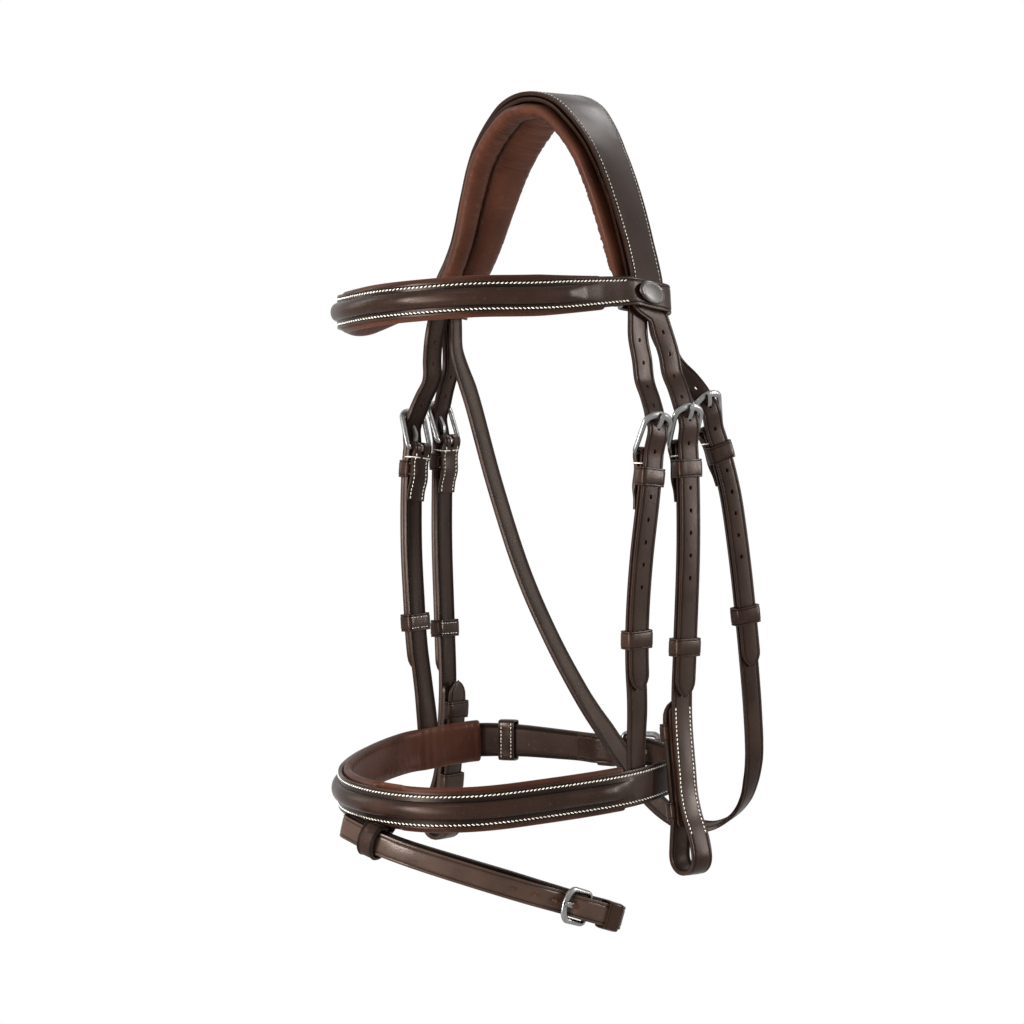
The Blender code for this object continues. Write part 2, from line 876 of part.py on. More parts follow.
def share_between(value, start, end):
    return min(max((value - start) / (end - start), 0.0), 1.0)


def crown_width(route, distance):
    browband = route.at_height(browband_height_share * bridle_drop)
    share = share_between(distance, browband * narrowing_shares[0], browband * narrowing_shares[1])
    return crown_width_poll + (crown_width_side - crown_width_poll) * share


def make_crown(cheeks, noses, spots, leather):
    """The headpiece, and the layer under it that ends in the nose billets."""
    crown_paths = {}
    nose_paths = {}
    for side in (-1, 1):
        route = cheeks[side]
        bar = route.at_height(cheek_bar_share * bridle_drop)
        neck = route.at_height(browband_height_share * bridle_drop) + browband_loop_width * 0.2
        billet = billet_path(route, bar, buckle_length, cheek_tip_drop, strap_width)
        rear = (crown_width_side - strap_width) / 2
        path = [(d, 0.0, 0.0, crown_width(route, d)) for d in along_route(route, 0.0, neck)]
        for distance in along_route(route, neck, billet[0][0])[1:-1]:
            share = share_between(distance, neck, billet[0][0])
            path.append((distance, billet[0][1] * share, rear * (1 - share), strap_width))
        crown_paths[side] = path + billet

        route = noses[side]
        bar = route.at_height(nose_bar_share * bridle_drop)
        neck = route.at_height(browband_height_share * bridle_drop)
        sewn = route.at_height(throat_start_share * bridle_drop)
        billet = billet_path(route, bar, buckle_length, nose_tip_drop, strap_width, -strap_pitch)
        path = []
        for distance in along_route(route, 0.0, billet[0][0])[:-1]:
            narrow = share_between(distance, sewn * 0.35, sewn - ribbon_step)
            width = (crown_width_poll - 2 * edge_inset) * (1 - narrow) + strap_width * narrow
            back = share_between(distance, neck, billet[0][0])
            deep = strap_pitch + crown_ease * (1 - back)
            path.append((distance, -deep, -nose_sewn_shift * narrow * (1 - back), width))
        nose_paths[side] = path + billet
    headpiece = two_sided("headpiece", cheeks, crown_paths, leather)
    headstrap = two_sided("noseband_headstrap", noses, nose_paths, leather)
    cut(headpiece, prisms("headpiece_holes", spots["cheek"]))
    cut(headstrap, prisms("headstrap_holes", spots["nose"]))


def cushion(name, stations, shares, material):
    """A pad: rings of a section given as (across, depth) shares, measured inwards."""
    rings = []
    for point, across, outward, width, depth in stations:
        rings.append([point + across * (out * width) - outward * (part * depth) for out, part in shares])
    return loft(name, rings, material)


def swell(distance, start, end):
    """How full a pad is: it thins towards both its ends."""
    near_end = min(distance - start, end - distance) / pad_end_length
    for (first, low), (last, high) in zip(pad_end_shares, pad_end_shares[1:]):
        if near_end <= last:
            return low + (high - low) * share_between(near_end, first, last)
    return 1.0


def make_crown_pad(cheeks, lining):
    outer = -(strap_thickness / 2 + strap_pitch + lay_gap + 2 * crown_ease)
    halves = {}
    for side in (-1, 1):
        route = cheeks[side]
        loop = route.at_height(browband_height_share * bridle_drop)
        end = loop - browband_loop_width / 2 - loop_clearance * 3
        half = []
        for distance in along_route(route, 0.0, end - pad_end_length) + [end - pad_end_length / 3, end]:
            point, _, across, outward = route.at(distance)
            share = share_between(distance, 0.0, end)
            width = crown_pad_width_poll + (crown_pad_width_side - crown_pad_width_poll) * share
            depth = crown_pad_thickness * swell(distance, -end, end)
            half.append((point + outward * outer, across * side, outward, width, depth))
        halves[side] = half
    cushion("headpiece_pad", halves[-1][::-1] + halves[1][1:], crown_pad_shares, lining)


def make_throat(throat, leather, metal, spots):
    bar = throat.at_height(throat_bar_share * bridle_drop)
    start = throat.at_height(throat_start_share * bridle_drop)
    neck = throat.at_height(throat_clear_share * bridle_drop)
    billet = billet_path(throat, bar, buckle_length, throat_tip_drop, throat_width, -strap_pitch)
    path = []
    for distance in along_route(throat, start, billet[0][0])[:-1]:
        share = share_between(distance, neck, billet[0][0])
        width = throat_sewn_width + (throat_width - throat_sewn_width) * share
        deep = strap_pitch + crown_ease * (1 - share)
        path.append((distance, -deep, throat_sewn_shift * (1 - share), width))
    near_billet = strap("near_throat_billet", throat, path + billet, leather)
    cut(near_billet, prisms("throat_holes", spots["throat"]))

    end = throat.length
    off_neck = end - throat_sewn_run
    path = fold_path(bar, throat_width)
    for distance in along_route(throat, bar, end):
        share = share_between(distance, off_neck - 2 * throat_width, off_neck)
        width = throat_width + (throat_sewn_width - throat_width) * share
        path.append((distance, 0.0, 0.0, width))
    strapped = strap("throatlatch", throat, path, leather)
    matrix = buckle_set("throat", throat, bar, throat_width, buckle_length, metal)
    cut_fold(strapped, matrix)
    buckle_keepers("throat", throat, bar, throat_width, throat_width, throat_keeper_drop, leather)


def make_cheek(side, name, route, leather, metal):
    """A cheekpiece: folded round its buckle bar above and into a bit loop below."""
    bar = route.at_height(cheek_bar_share * bridle_drop)
    centre = route.at_height(bit_centre_share * bridle_drop)
    outer = bit_radius - bit_axis_offset
    inner = -bit_radius - bit_axis_offset
    back = -(strap_pitch * 2 + lay_gap + keeper_thickness + bit_keeper_slack)
    width = strap_width
    path = fold_path(bar, width)
    flare = centre - bit_flare_length
    path += [(distance, 0.0, 0.0, width) for distance in along_route(route, bar, flare)[:-1]]
    path += [(centre - part * bit_flare_length, rise * outer, 0.0, width) for part, rise in bit_flare_shares]
    for step in range(bit_steps + 1):
        turn = math.pi * step / bit_steps
        offset = bit_radius * math.cos(turn) - bit_axis_offset
        path.append((centre + bit_radius * math.sin(turn), offset, 0.0, width))
    for part, rise in bit_return_shares:
        path.append((centre - part * bit_flare_length, back + (inner - back) * rise, 0.0, width))
    top = centre - bit_return_length
    reach = round_tip_shares[0][0] * width / 2
    path += [(distance, back, 0.0, width) for distance in along_route(route, path[-1][0], top + reach)[1:-1]]
    path += tip(top, back, width, -1)
    cheekpiece = strap(name + "_cheekpiece", route, path, leather)
    matrix = buckle_set(name + "_cheek", route, bar, width, buckle_length, metal)
    cut_fold(cheekpiece, matrix)
    buckle_keepers(name + "_cheek", route, bar, width, width, cheek_keeper_drop, leather)

    high = centre - stud_strap_above
    low = centre - stud_strap_below
    path = tip(high, -strap_pitch, width, -1, square_tip_shares)[::-1]
    path += [(distance, -strap_pitch, 0.0, width) for distance in along_route(route, high, low)[1:-1]]
    path += tip(low, -strap_pitch, width, 1, square_tip_shares)
    stud_strap = strap(name + "_stud_strap", route, path, leather)

    place_up = centre - stud_place_above
    point, _, across, outward = route.at(place_up)
    post = stud_post / 2
    depth = (strap_thickness + lay_gap) / 2
    through = post + pivot_clearance
    loose = post + bit_keeper_slack
    spot = (point - outward * strap_pitch, outward, across, through, through, depth)
    cut(stud_strap, prisms(name + "_stud_seat", [spot]))
    spot = (point + outward * back, outward, across, loose, loose, depth)
    cut(cheekpiece, prisms(name + "_stud_eye", [spot]))
    start = strap_pitch - strap_thickness / 2 + lay_gap
    end = -back + strap_thickness / 2 + bit_keeper_slack + stud_head_thickness
    rings = []
    for share, size in stud_shares:
        radius = stud_head / 2 * size
        middle = point - outward * (start + (end - start) * share)
        ring = []
        for corner in range(round_steps * 2):
            turn = math.tau * corner / (round_steps * 2)
            ring.append(middle + (across * math.cos(turn) + across.cross(outward) * math.sin(turn)) * radius)
        rings.append(ring)
    loft(name + "_hook_stud", rings, metal)

    for label, above in (("upper", upper_bit_keeper_above), ("lower", lower_bit_keeper_above)):
        matrix = route_frame(route, centre - above)
        low_side = back - strap_thickness / 2
        high_side = back + strap_thickness / 2
        title = name + "_" + label + "_bit_keeper"
        keeper(title, matrix, width, low_side, high_side, bit_keeper_slack, keeper_length, leather)


def make_hanger(name, route, leather, metal):
    """A nose hanger: folded round its buckle bar above, sewn behind the noseband below."""
    bar = route.at_height(nose_bar_share * bridle_drop)
    path = fold_path(bar, strap_width)
    path += [(distance, 0.0, 0.0, strap_width) for distance in along_route(route, bar, route.length)]
    hanger = strap(name + "_nose_hanger", route, path, leather)
    matrix = buckle_set(name + "_nose", route, bar, strap_width, buckle_length, metal)
    cut_fold(hanger, matrix)
    buckle_keepers(name + "_nose", route, bar, strap_width, strap_width, nose_keeper_drop, leather)


def noseband_breadth(distance, length):
    share = share_between(min(distance, length - distance), punch_pitch, noseband_taper)
    return noseband_rear_width + (noseband_width - noseband_rear_width) * share


def roll_size(distance, start, end):
    low = share_between(distance, start, start + roll_taper)
    return min(low, share_between(end - distance, 0.0, roll_taper))


def make_noseband(ring, hangers, leather, lining, metal):
    """The noseband: one strap from the fold round its rear buckle to the billet through it."""
    length = ring.length
    roll_start = hangers[-1] + strap_width * 0.8
    roll_end = hangers[1] - strap_width * 0.8
    matrix = route_frame(ring, 0.0, -fold_radius())
    path = fold_path(0.0, noseband_rear_width)
    billet = billet_path(ring, length, buckle_length, noseband_tip_drop, noseband_rear_width)
    for distance in along_route(ring, 0.0, billet[0][0])[:-1]:
        path.append((distance, 0.0, 0.0, noseband_breadth(distance, length)))
    lifted = length + noseband_keeper_drop + keeper_length / 2
    path += [(spot[0], spot[1] + (crown_ease if spot[0] > lifted else 0.0), *spot[2:]) for spot in billet]
    rolls = [roll_size(spot[0], roll_start, roll_end) if spot[1] == 0.0 else 0.0 for spot in path]
    noseband = strap("noseband", ring, path, leather, 1, rolls)
    cut_fold(noseband, matrix)
    spots = punch(ring, length, buckle_length, noseband_tip_drop, matrix)
    cut(noseband, prisms("noseband_holes", spots))
    buckle_set("noseband", ring, 0.0, noseband_rear_width, buckle_length, metal)
    low_width = noseband_breadth(noseband_keeper_drop + keeper_length, length)
    width = noseband_rear_width + edge_inset
    buckle_keepers("noseband", ring, 0.0, width, low_width, noseband_keeper_drop, leather)

    start = ring.nearest(place((*noseband_pad_start_share, noseband_height_share)))
    end = hangers[1] - strap_width / 2 - pad_end_length / 3
    outer = -(strap_thickness / 2 + 2 * lay_gap)
    stations = []
    for distance in pad_places(ring, start, end):
        point, _, across, outward = ring.at(distance)
        depth = band_pad_thickness * swell(distance, start, end)
        stations.append((point + outward * outer, across, outward, noseband_pad_width, depth))
    pad = cushion("noseband_pad", stations, band_pad_shares, lining)
    deep = strap_pitch + crown_ease + strap_thickness / 2 + lay_gap
    side_room = strap_width / 2 + pocket_room
    pocket(pad, "hanger_pocket", ring, hangers[-1], side_room, noseband_width * 0.5, noseband_width, deep)
    flash_place = ring.nearest(place(flash_shares[1]))
    side_room = flash_loop_width / 2 + 4 * pocket_room
    deep = strap_thickness / 2 + 2 * flash_tab_gap + flash_loop_thickness
    pocket(pad, "tab_pocket", ring, flash_place, side_room, noseband_width, flash_tab_height * 0.2, deep)


def pad_places(route, start, end):
    thin = pad_end_length
    inner = along_route(route, start + thin, end - thin)
    return [start, start + thin / 3] + inner + [end - thin / 3, end]


def pocket(target, name, route, distance, half, below, above, depth):
    """A shallow recess in a pad's outer face, where a strap lies under the band."""
    matrix = route_frame(route, distance)
    low = (-below, -half, -depth - lay_gap)
    cut(target, box_cutter(name, matrix, low, (above, half, cut_overrun)))


def make_browband(cheeks, leather, lining, metal):
    """The browband, with an end folded round each side of the crown, its pad and two buttons."""
    outer = strap_thickness + loop_clearance
    inner = strap_pitch + strap_thickness + loop_clearance + crown_ease
    radius = (outer + inner) / 2
    ends = {}
    for side in (-1, 1):
        route = cheeks[side]
        point, along, across, outward = route.at(route.at_height(browband_height_share * bridle_drop))
        across = across * side
        rear = (crown_width_side + loop_clearance - radius) / 2
        base = point + outward * outer
        ends[side] = [
            (base + across * (rear - part * (rear + loop_neck)), outward, along) for part in (0.0, 0.5, 1.0)
        ]
    middle = [place(spot) for spot in browband_shares]
    places = [spot for spot, _, _ in ends[-1]] + middle + [spot for spot, _, _ in ends[1][::-1]]
    facings = []
    for index, spot in enumerate(places):
        before = places[max(index - 1, 0)]
        after = places[min(index + 1, len(places) - 1)]
        facings.append((after - before).cross(Vector((0.0, 0.0, 1.0))).normalized())
    for index, (_, outward, _) in enumerate(ends[-1]):
        facings[index] = outward
    for index, (_, outward, _) in enumerate(ends[1][::-1]):
        facings[len(facings) - 3 + index] = outward
    band = route_through(places, facings)
    length = band.length
    deep = -2 * radius
    near_layer = -strap_pitch
    neck = crown_width_side + 3 * loop_clearance - radius / 2
    start = []
    for distance, offset in (
        (loop_return + neck * 0.35, near_layer),
        (neck + loop_neck * 0.55, near_layer),
        (neck, deep + strap_pitch * 0.1),
        (neck * 0.5, deep),
        (0.0, deep),
    ):
        start.append((distance, offset, 0.0, browband_loop_width))
    for step in range(1, fold_steps):
        turn = math.pi * (step / fold_steps - 0.5)
        place_on = (-radius * math.cos(turn), radius * (math.sin(turn) - 1))
        start.append((place_on[0], place_on[1], 0.0, browband_loop_width))
    finish_path = [(length - spot[0], *spot[1:]) for spot in start[::-1]]
    path = list(start)
    for distance in along_route(band, 0.0, length):
        share = share_between(min(distance, length - distance), neck, neck + 3 * loop_neck)
        width = browband_loop_width + (browband_width - browband_loop_width) * share
        path.append((distance, 0.0, 0.0, width))
    path += finish_path
    roll_start = neck + loop_return
    roll_end = length - roll_start
    rolls = [roll_size(spot[0], roll_start, roll_end) if spot[1] == 0.0 else 0.0 for spot in path]
    strap("browband", band, path, leather, 1, rolls)

    pad_start = loop_return + neck * 0.35 + 3 * loop_clearance
    stations = []
    for distance in pad_places(band, pad_start, length - pad_start):
        point, _, across, outward = band.at(distance)
        share = share_between(min(distance, length - distance), pad_start, pad_start + 3 * loop_neck)
        width = browband_loop_width + (browband_pad_width - browband_loop_width) * (0.5 + share / 2)
        depth = band_pad_thickness * swell(distance, pad_start, length - pad_start)
        stations.append((point - outward * (strap_thickness / 2 + lay_gap), across, outward, width, depth))
    cushion("browband_pad", stations, band_pad_shares, lining)

    for side, name in ((-1, "off_button"), (1, "near_button")):
        distance = neck * 0.5 if side < 0 else length - neck * 0.5
        point, along, across, outward = band.at(distance)
        reach = button_length / 2
        near_spots = [band.at(distance + part * reach)[0] for part in (-1.0, -0.5, 0.5, 1.0)]
        high = max((spot - point).dot(outward) for spot in near_spots)
        base = point + outward * (strap_thickness / 2 + lay_gap + max(high, 0.0))
        rings = []
        for height, size in button_shares:
            ring = []
            for corner in range(round_steps * 3):
                turn = math.tau * corner / (round_steps * 3)
                reach = along * (button_length / 2 * math.cos(turn))
                reach += across * (button_height / 2 * math.sin(turn))
                ring.append(base + outward * (height * button_thickness) + reach * size)
            rings.append(ring)
        loft(name, rings, metal)


def make_flash(ring, flash, leather, metal):
    """The flash strap, buckled to itself in a long loop, hung in a leather loop on the nose."""
    bar = flash.length - flash_bar_from_end
    right = flash.length - flash_setback
    left = flash_setback
    matrix = route_frame(flash, bar, -fold_radius())
    deep = 2 * fold_radius() + strap_pitch
    shallow = flash_left_spacing
    width = flash_width
    path = fold_path(bar, width, flash_return, False)
    path += [(distance, 0.0, 0.0, width) for distance in along_route(flash, bar, right)]
    for step in range(1, fold_steps):
        turn = math.pi * (0.5 - step / fold_steps)
        reach = deep / 2
        shift = flash_back_shift * step / fold_steps
        path.append((right + reach * math.cos(turn), reach * (math.sin(turn) - 1), shift, width))
    narrowing = bar - 2 * buckle_length
    for distance in along_route(flash, right, left):
        share = share_between(distance, flash_hold, narrowing)
        offset = -(shallow + (deep - shallow) * share)
        path.append((distance, offset, flash_back_shift * share, width))
    for step in range(1, fold_steps):
        turn = math.pi * (step / fold_steps - 0.5)
        reach = shallow / 2
        path.append((left - reach * math.cos(turn), reach * (math.sin(turn) - 1), 0.0, width))
    billet = billet_path(flash, bar, flash_buckle_length, flash_tip_drop, width)
    path += [(distance, 0.0, 0.0, width) for distance in along_route(flash, left, billet[0][0])[:-1]]
    strapped = strap("flash_strap", flash, path + billet, leather)
    cut_fold(strapped, matrix)
    spots = [tongue_hole(matrix, flash_buckle_length)]
    first = bar - flash_rise_shares[6][0] * flash_buckle_length
    for step in (1, 2, 3):
        distance = first - step * punch_pitch
        point, _, across, outward = flash.at(distance)
        radius = punch_diameter / 2
        offset = -strap_pitch if distance > billet[0][0] + ribbon_step else 0.0
        depth = strap_thickness
        spots.append((point + outward * offset, outward, across, radius, radius, depth))
    cut(strapped, prisms("flash_holes", spots))
    buckle_set("flash", flash, bar, width, flash_buckle_length, metal)
    half = strap_thickness / 2
    keeper_place = route_frame(flash, bar + flash_keeper_drop)
    inner = -strap_pitch - half
    outer = strap_pitch + half
    keeper("flash_keeper", keeper_place, width, inner, outer, keeper_clearance, flash_keeper_length, leather)

    through = flash.nearest(place(flash_shares[1]))
    point, along, across, outward = flash.at(through)
    hung = ring.at(ring.nearest(point))
    face = (hung[0] - point).dot(outward)
    edge = (hung[0] - point).dot(across) - noseband_width / 2
    wall = flash_loop_thickness / 2
    room = flash_loop_clearance
    front = half + room + wall
    rear = -flash_left_spacing - half - room - wall
    bottom = -width / 2 - room - wall
    top = width / 2 + room + wall
    tab = face - half - flash_tab_gap - wall
    corner = wall + lay_gap
    places = [
        (tab, edge + flash_tab_height),
        (tab, edge - flash_tab_gap),
        (tab + corner, edge - flash_tab_gap - corner),
        (rear - corner, top - 3 * wall - lay_gap),
        (rear, top - 4 * wall - lay_gap),
        (rear, bottom + corner),
        (rear + corner, bottom),
        (front - corner, bottom),
        (front, bottom + corner),
        (front, top - corner),
        (front - corner, top),
        (rear + 2 * corner, top),
    ]
    stations = []
    for index, (reach, rise) in enumerate(places):
        before = places[max(index - 1, 0)]
        after = places[min(index + 1, len(places) - 1)]
        run = Vector((after[0] - before[0], after[1] - before[1])).normalized()
        spot = point + outward * reach + across * rise
        stations.append((spot, along, across * run.x - outward * run.y))
    ribbon("flash_loop", stations, [flash_loop_width] * len(stations), flash_loop_thickness, leather)


def main():
    clear_scene()
    leather = (leather_colour, leather_roughness, 0.0)
    lining = (lining_colour, lining_roughness, 0.0)
    metal = (steel_colour, steel_roughness, 1.0)

    ring_places = []
    for across, back in noseband_shares:
        height = noseband_height_share + noseband_roll_share * across + noseband_pitch_share * back
        ring_places.append(place((across, back, height)))
    ring_facings = []
    for index, spot in enumerate(ring_places):
        ahead = ring_places[(index + 1) % len(ring_places)] - ring_places[index - 1]
        ring_facings.append(ahead.cross(Vector((0.0, 0.0, 1.0))).normalized())
    ring = route_through(ring_places, ring_facings, True)

    cheeks = {side: side_route(side, cheek_shares, cheek_facing_shares) for side in (-1, 1)}
    noses = {}
    hangers = {}
    for side in (-1, 1):
        sewn = mirrored(beside_cheek((*hanger_share, noseband_height_share)), side)
        hangers[side] = ring.nearest(sewn)
        point, _, across, outward = ring.at(hangers[side])
        ends = []
        for rise in (noseband_width * 0.5 + keeper_length / 2, 0.0, -noseband_width * 0.3):
            ends.append((point - outward * (strap_pitch + crown_ease) + across * rise, outward))
        noses[side] = side_route(side, nose_shares, nose_facing_shares, ends, beside_cheek)

    off_crown = []
    for height in throat_sewn_heights:
        point, _, across, outward = cheeks[-1].at(cheeks[-1].at_height(height * bridle_drop))
        off_crown.append((point - across * throat_sewn_shift - outward * (strap_pitch + crown_ease), outward))
    throat = side_route(1, throat_shares, throat_facing_shares, off_crown)

    spots = {}
    cheek_spots = []
    nose_spots = []
    for side in (-1, 1):
        for route, share, drop, top, holes in (
            (cheeks[side], cheek_bar_share, cheek_tip_drop, 0.0, cheek_spots),
            (noses[side], nose_bar_share, nose_tip_drop, -strap_pitch, nose_spots),
        ):
            bar = route.at_height(share * bridle_drop)
            matrix = route_frame(route, bar, -fold_radius())
            holes += punch(route, bar, buckle_length, drop, matrix, top)
    spots["cheek"] = cheek_spots
    spots["nose"] = nose_spots
    bar = throat.at_height(throat_bar_share * bridle_drop)
    matrix = route_frame(throat, bar, -fold_radius())
    spots["throat"] = punch(throat, bar, buckle_length, throat_tip_drop, matrix, -strap_pitch)

    make_crown(cheeks, noses, spots, leather)
    make_crown_pad(cheeks, lining)
    make_throat(throat, leather, metal, spots)
    for side, name in ((-1, "off"), (1, "near")):
        make_cheek(side, name, cheeks[side], leather, metal)
        make_hanger(name, noses[side], leather, metal)
    make_noseband(ring, hangers, leather, lining, metal)
    make_browband(cheeks, leather, lining, metal)

    flash_places = [place(spot) for spot in flash_shares]
    flash_facings = [Vector(facing).normalized() for facing in flash_facing_shares]
    make_flash(ring, route_through(flash_places, flash_facings), leather, metal)


main()
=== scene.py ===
"""Looks of a flash noseband bridle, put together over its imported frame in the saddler's order."""

import math
import random

import bpy
from mathutils import Matrix, Vector


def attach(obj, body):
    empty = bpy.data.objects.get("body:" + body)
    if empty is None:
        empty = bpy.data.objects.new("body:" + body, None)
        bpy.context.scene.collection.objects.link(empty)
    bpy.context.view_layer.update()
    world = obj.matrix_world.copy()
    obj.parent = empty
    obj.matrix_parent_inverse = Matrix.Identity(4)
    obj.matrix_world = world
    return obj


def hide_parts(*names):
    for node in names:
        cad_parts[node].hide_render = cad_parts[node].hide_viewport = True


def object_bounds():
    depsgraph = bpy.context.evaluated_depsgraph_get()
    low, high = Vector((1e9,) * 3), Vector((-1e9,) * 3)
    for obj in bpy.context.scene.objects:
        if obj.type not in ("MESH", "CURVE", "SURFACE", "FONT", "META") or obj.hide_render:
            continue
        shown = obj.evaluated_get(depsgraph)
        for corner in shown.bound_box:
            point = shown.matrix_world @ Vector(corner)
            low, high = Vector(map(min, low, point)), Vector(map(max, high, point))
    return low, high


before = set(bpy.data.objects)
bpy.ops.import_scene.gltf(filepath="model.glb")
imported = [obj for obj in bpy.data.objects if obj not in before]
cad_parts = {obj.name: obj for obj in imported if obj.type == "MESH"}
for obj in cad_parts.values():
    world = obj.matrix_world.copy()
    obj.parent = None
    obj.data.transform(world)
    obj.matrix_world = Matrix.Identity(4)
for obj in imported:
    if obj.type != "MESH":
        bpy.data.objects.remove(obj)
cad_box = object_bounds()

# The studio: a pale floor below the hanging bridle, white behind it and soft boxes round it.
# The camera stands in front of the near side at the height of the noseband.
scene = bpy.context.scene
scene.view_settings.view_transform = "Standard"

camera_turn = math.radians(46)
camera_tilt = math.radians(2.39)
bpy.ops.object.camera_add(location=(1.6360, -1.6168, -0.1659))
camera = bpy.context.object
camera.data.sensor_width = 36.0
camera.data.lens = 121.29
camera.data.clip_end = 50.0
gaze = Vector((-math.sin(camera_turn), math.cos(camera_turn), -math.tan(camera_tilt)))
camera.rotation_euler = gaze.to_track_quat("-Z", "Y").to_euler()
scene.camera = camera


def add_node(tree, kind, sockets=None, **settings):
    """A new shader node with its settings and the values of its unlinked sockets."""
    node = tree.nodes.new("ShaderNode" + kind)
    for name, value in settings.items():
        setattr(node, name, value)
    for name, value in (sockets or {}).items():
        node.inputs[name].default_value = value
    return node


def link_nodes(tree, *links):
    for source, output, target, socket in links:
        tree.links.new(source.outputs[output], target.inputs[socket])


def mix_by_ray(tree, rays, lit, seen, surface, fade=None):
    """Shows one shader to the rays named, while the other takes and gives the studio's light."""
    path = add_node(tree, "LightPath")
    share = path.outputs[rays[0]]
    steps = [("MAXIMUM", path.outputs[ray]) for ray in rays[1:]]
    for operation, other in steps + ([("MULTIPLY", fade)] if fade else []):
        step = add_node(tree, "Math", operation=operation)
        tree.links.new(share, step.inputs[0])
        tree.links.new(other, step.inputs[1])
        share = step.outputs["Value"]
    mix = add_node(tree, "MixShader")
    tree.links.new(share, mix.inputs["Fac"])
    tree.links.new(lit, mix.inputs[1])
    tree.links.new(seen, mix.inputs[2])
    tree.links.new(mix.outputs["Shader"], surface)


def new_material(name):
    material = bpy.data.materials.new(name)
    material.use_nodes = True
    return material, material.node_tree, material.node_tree.nodes["Principled BSDF"]


world = bpy.data.worlds.new("studio_air")
world.use_nodes = True
scene.world = world
air = world.node_tree
air_light = air.nodes["Background"]
air_light.inputs["Color"].default_value = (1.0, 0.99, 0.98, 1.0)
air_light.inputs["Strength"].default_value = 0.30
air_white = add_node(air, "Background", {"Color": (1.0, 1.0, 1.0, 1.0), "Strength": 1.0})
mix_by_ray(
    air, ("Is Camera Ray", "Is Glossy Ray", "Is Transmission Ray"), air_light.outputs["Background"],
    air_white.outputs["Background"], air.nodes["World Output"].inputs["Surface"],
)

floor_drop = 0.25
bpy.ops.mesh.primitive_plane_add(size=6.0, location=(0.0, 0.0, cad_box[0][2] - floor_drop))
floor = bpy.context.object
floor.name = "floor"
floor_paint, paint, paint_shader = new_material("floor_paint")
paint_shader.inputs["Base Color"].default_value = (0.94, 0.94, 0.94, 1.0)
paint_shader.inputs["Roughness"].default_value = 0.9
paint_glow = add_node(paint, "Emission", {"Strength": 1.0})
paint_place = add_node(paint, "TexCoord")
paint_reach = add_node(paint, "VectorMath", operation="LENGTH")
paint_fade = add_node(
    paint, "MapRange", {"From Min": 0.10, "From Max": 0.75, "To Min": 0.88, "To Max": 1.0},
    interpolation_type="SMOOTHSTEP",
)
link_nodes(paint, (paint_place, "Object", paint_reach, 0), (paint_reach, "Value", paint_fade, "Value"))
mix_by_ray(
    paint, ("Is Camera Ray", "Is Glossy Ray"), paint_shader.outputs["BSDF"], paint_glow.outputs["Emission"],
    paint.nodes["Material Output"].inputs["Surface"], paint_fade.outputs["Result"],
)
floor.data.materials.append(floor_paint)

lamp_target = Vector((0.0, -0.03, -0.25))
for lamp_place, lamp_width, lamp_height, lamp_power in (
    ((-0.1, -2.4, 0.10), 0.6, 0.95, 74.0),
    ((0.35, -2.0, -0.58), 0.7, 0.26, 26.0),
    ((0.9, -1.8, 1.9), 0.7, 0.4, 8.0),
    ((2.08, 1.80, 0.3), 0.30, 1.4, 60.0),
    ((-2.0, -1.2, 0.6), 0.4, 1.6, 14.0),
    ((-0.4, 2.2, 1.6), 0.8, 0.5, 9.0),
):
    bpy.ops.object.light_add(type="AREA", location=lamp_place)
    lamp = bpy.context.object
    lamp.data.shape = "RECTANGLE"
    lamp.data.size = lamp_width
    lamp.data.size_y = lamp_height
    lamp.data.energy = lamp_power
    lamp.rotation_euler = (lamp_target - Vector(lamp_place)).to_track_quat("-Z", "Y").to_euler()

# Headpiece: one wide crown leather over the poll, cut down to a cheek billet on each side.
# Dark brown bridle leather, its edges rounded, creased and burnished, its rows saddle-stitched.
# Every strap here is cut flat from a grid, creased, then laid along its line on the head.
strap_width = 0.0165
strap_thickness = 0.0026
lay_gap = 0.0003
strap_pitch = strap_thickness + lay_gap
ribbon_step = 0.0135
merge_reach = 0.00002
crown_ease = 0.0009
edge_inset = 0.0006
skived_thickness = 0.0012
skived_length = 0.0110
skived_slope = 0.006
crown_width_poll = 0.048
crown_width_side = 0.029
browband_height = -0.120
loop_width = 0.0185
loop_clearance = 0.0022
cheek_bar_height = -0.216
cheek_billet_drop = 0.162
hole_pitch = 0.0145
buckle_wire = 0.0032
buckle_length = 0.0270
pivot_clearance = 0.0003
fold_reach = buckle_wire / 2 + pivot_clearance + strap_thickness / 2
keeper_length = 0.0118
fixed_keeper_drop = 0.0145
crown_line = [
    (0, 0, 0.015), (0.02, 0, 0.0105), (0.038, -0.0004, -0.004), (0.054, -0.0008, -0.025),
    (0.067, -0.0004, -0.051), (0.079, -0.001, -0.08), (0.0895, -0.004, -0.103),
    (0.0945, -0.0072, -0.115), (0.0972, -0.0088, -0.128),
]
crown_faces = [
    (0, 0, 1), (0.45, 0.04, 0.89), (0.7, 0.1, 0.7), (0.85, 0.18, 0.5), (0.93, 0.14, 0.35),
    (0.97, 0.07, 0.2), (1, 0, 0.15), (1, 0, 0.15), (1, 0, 0.12),
]
cheek_line = [
    (0.0995, -0.0036, -0.141), (0.1045, 0.004, -0.1625), (0.11, 0.0068, -0.19), (0.1135, 0.008, -0.215),
    (0.115, 0.0084, -0.25), (0.115, 0.0084, -0.29), (0.1125, 0.0084, -0.345), (0.111, 0.0084, -0.388),
    (0.1145, 0.009, -0.43), (0.118, 0.0092, -0.46), (0.1195, 0.0094, -0.485), (0.12, 0.0096, -0.515),
]
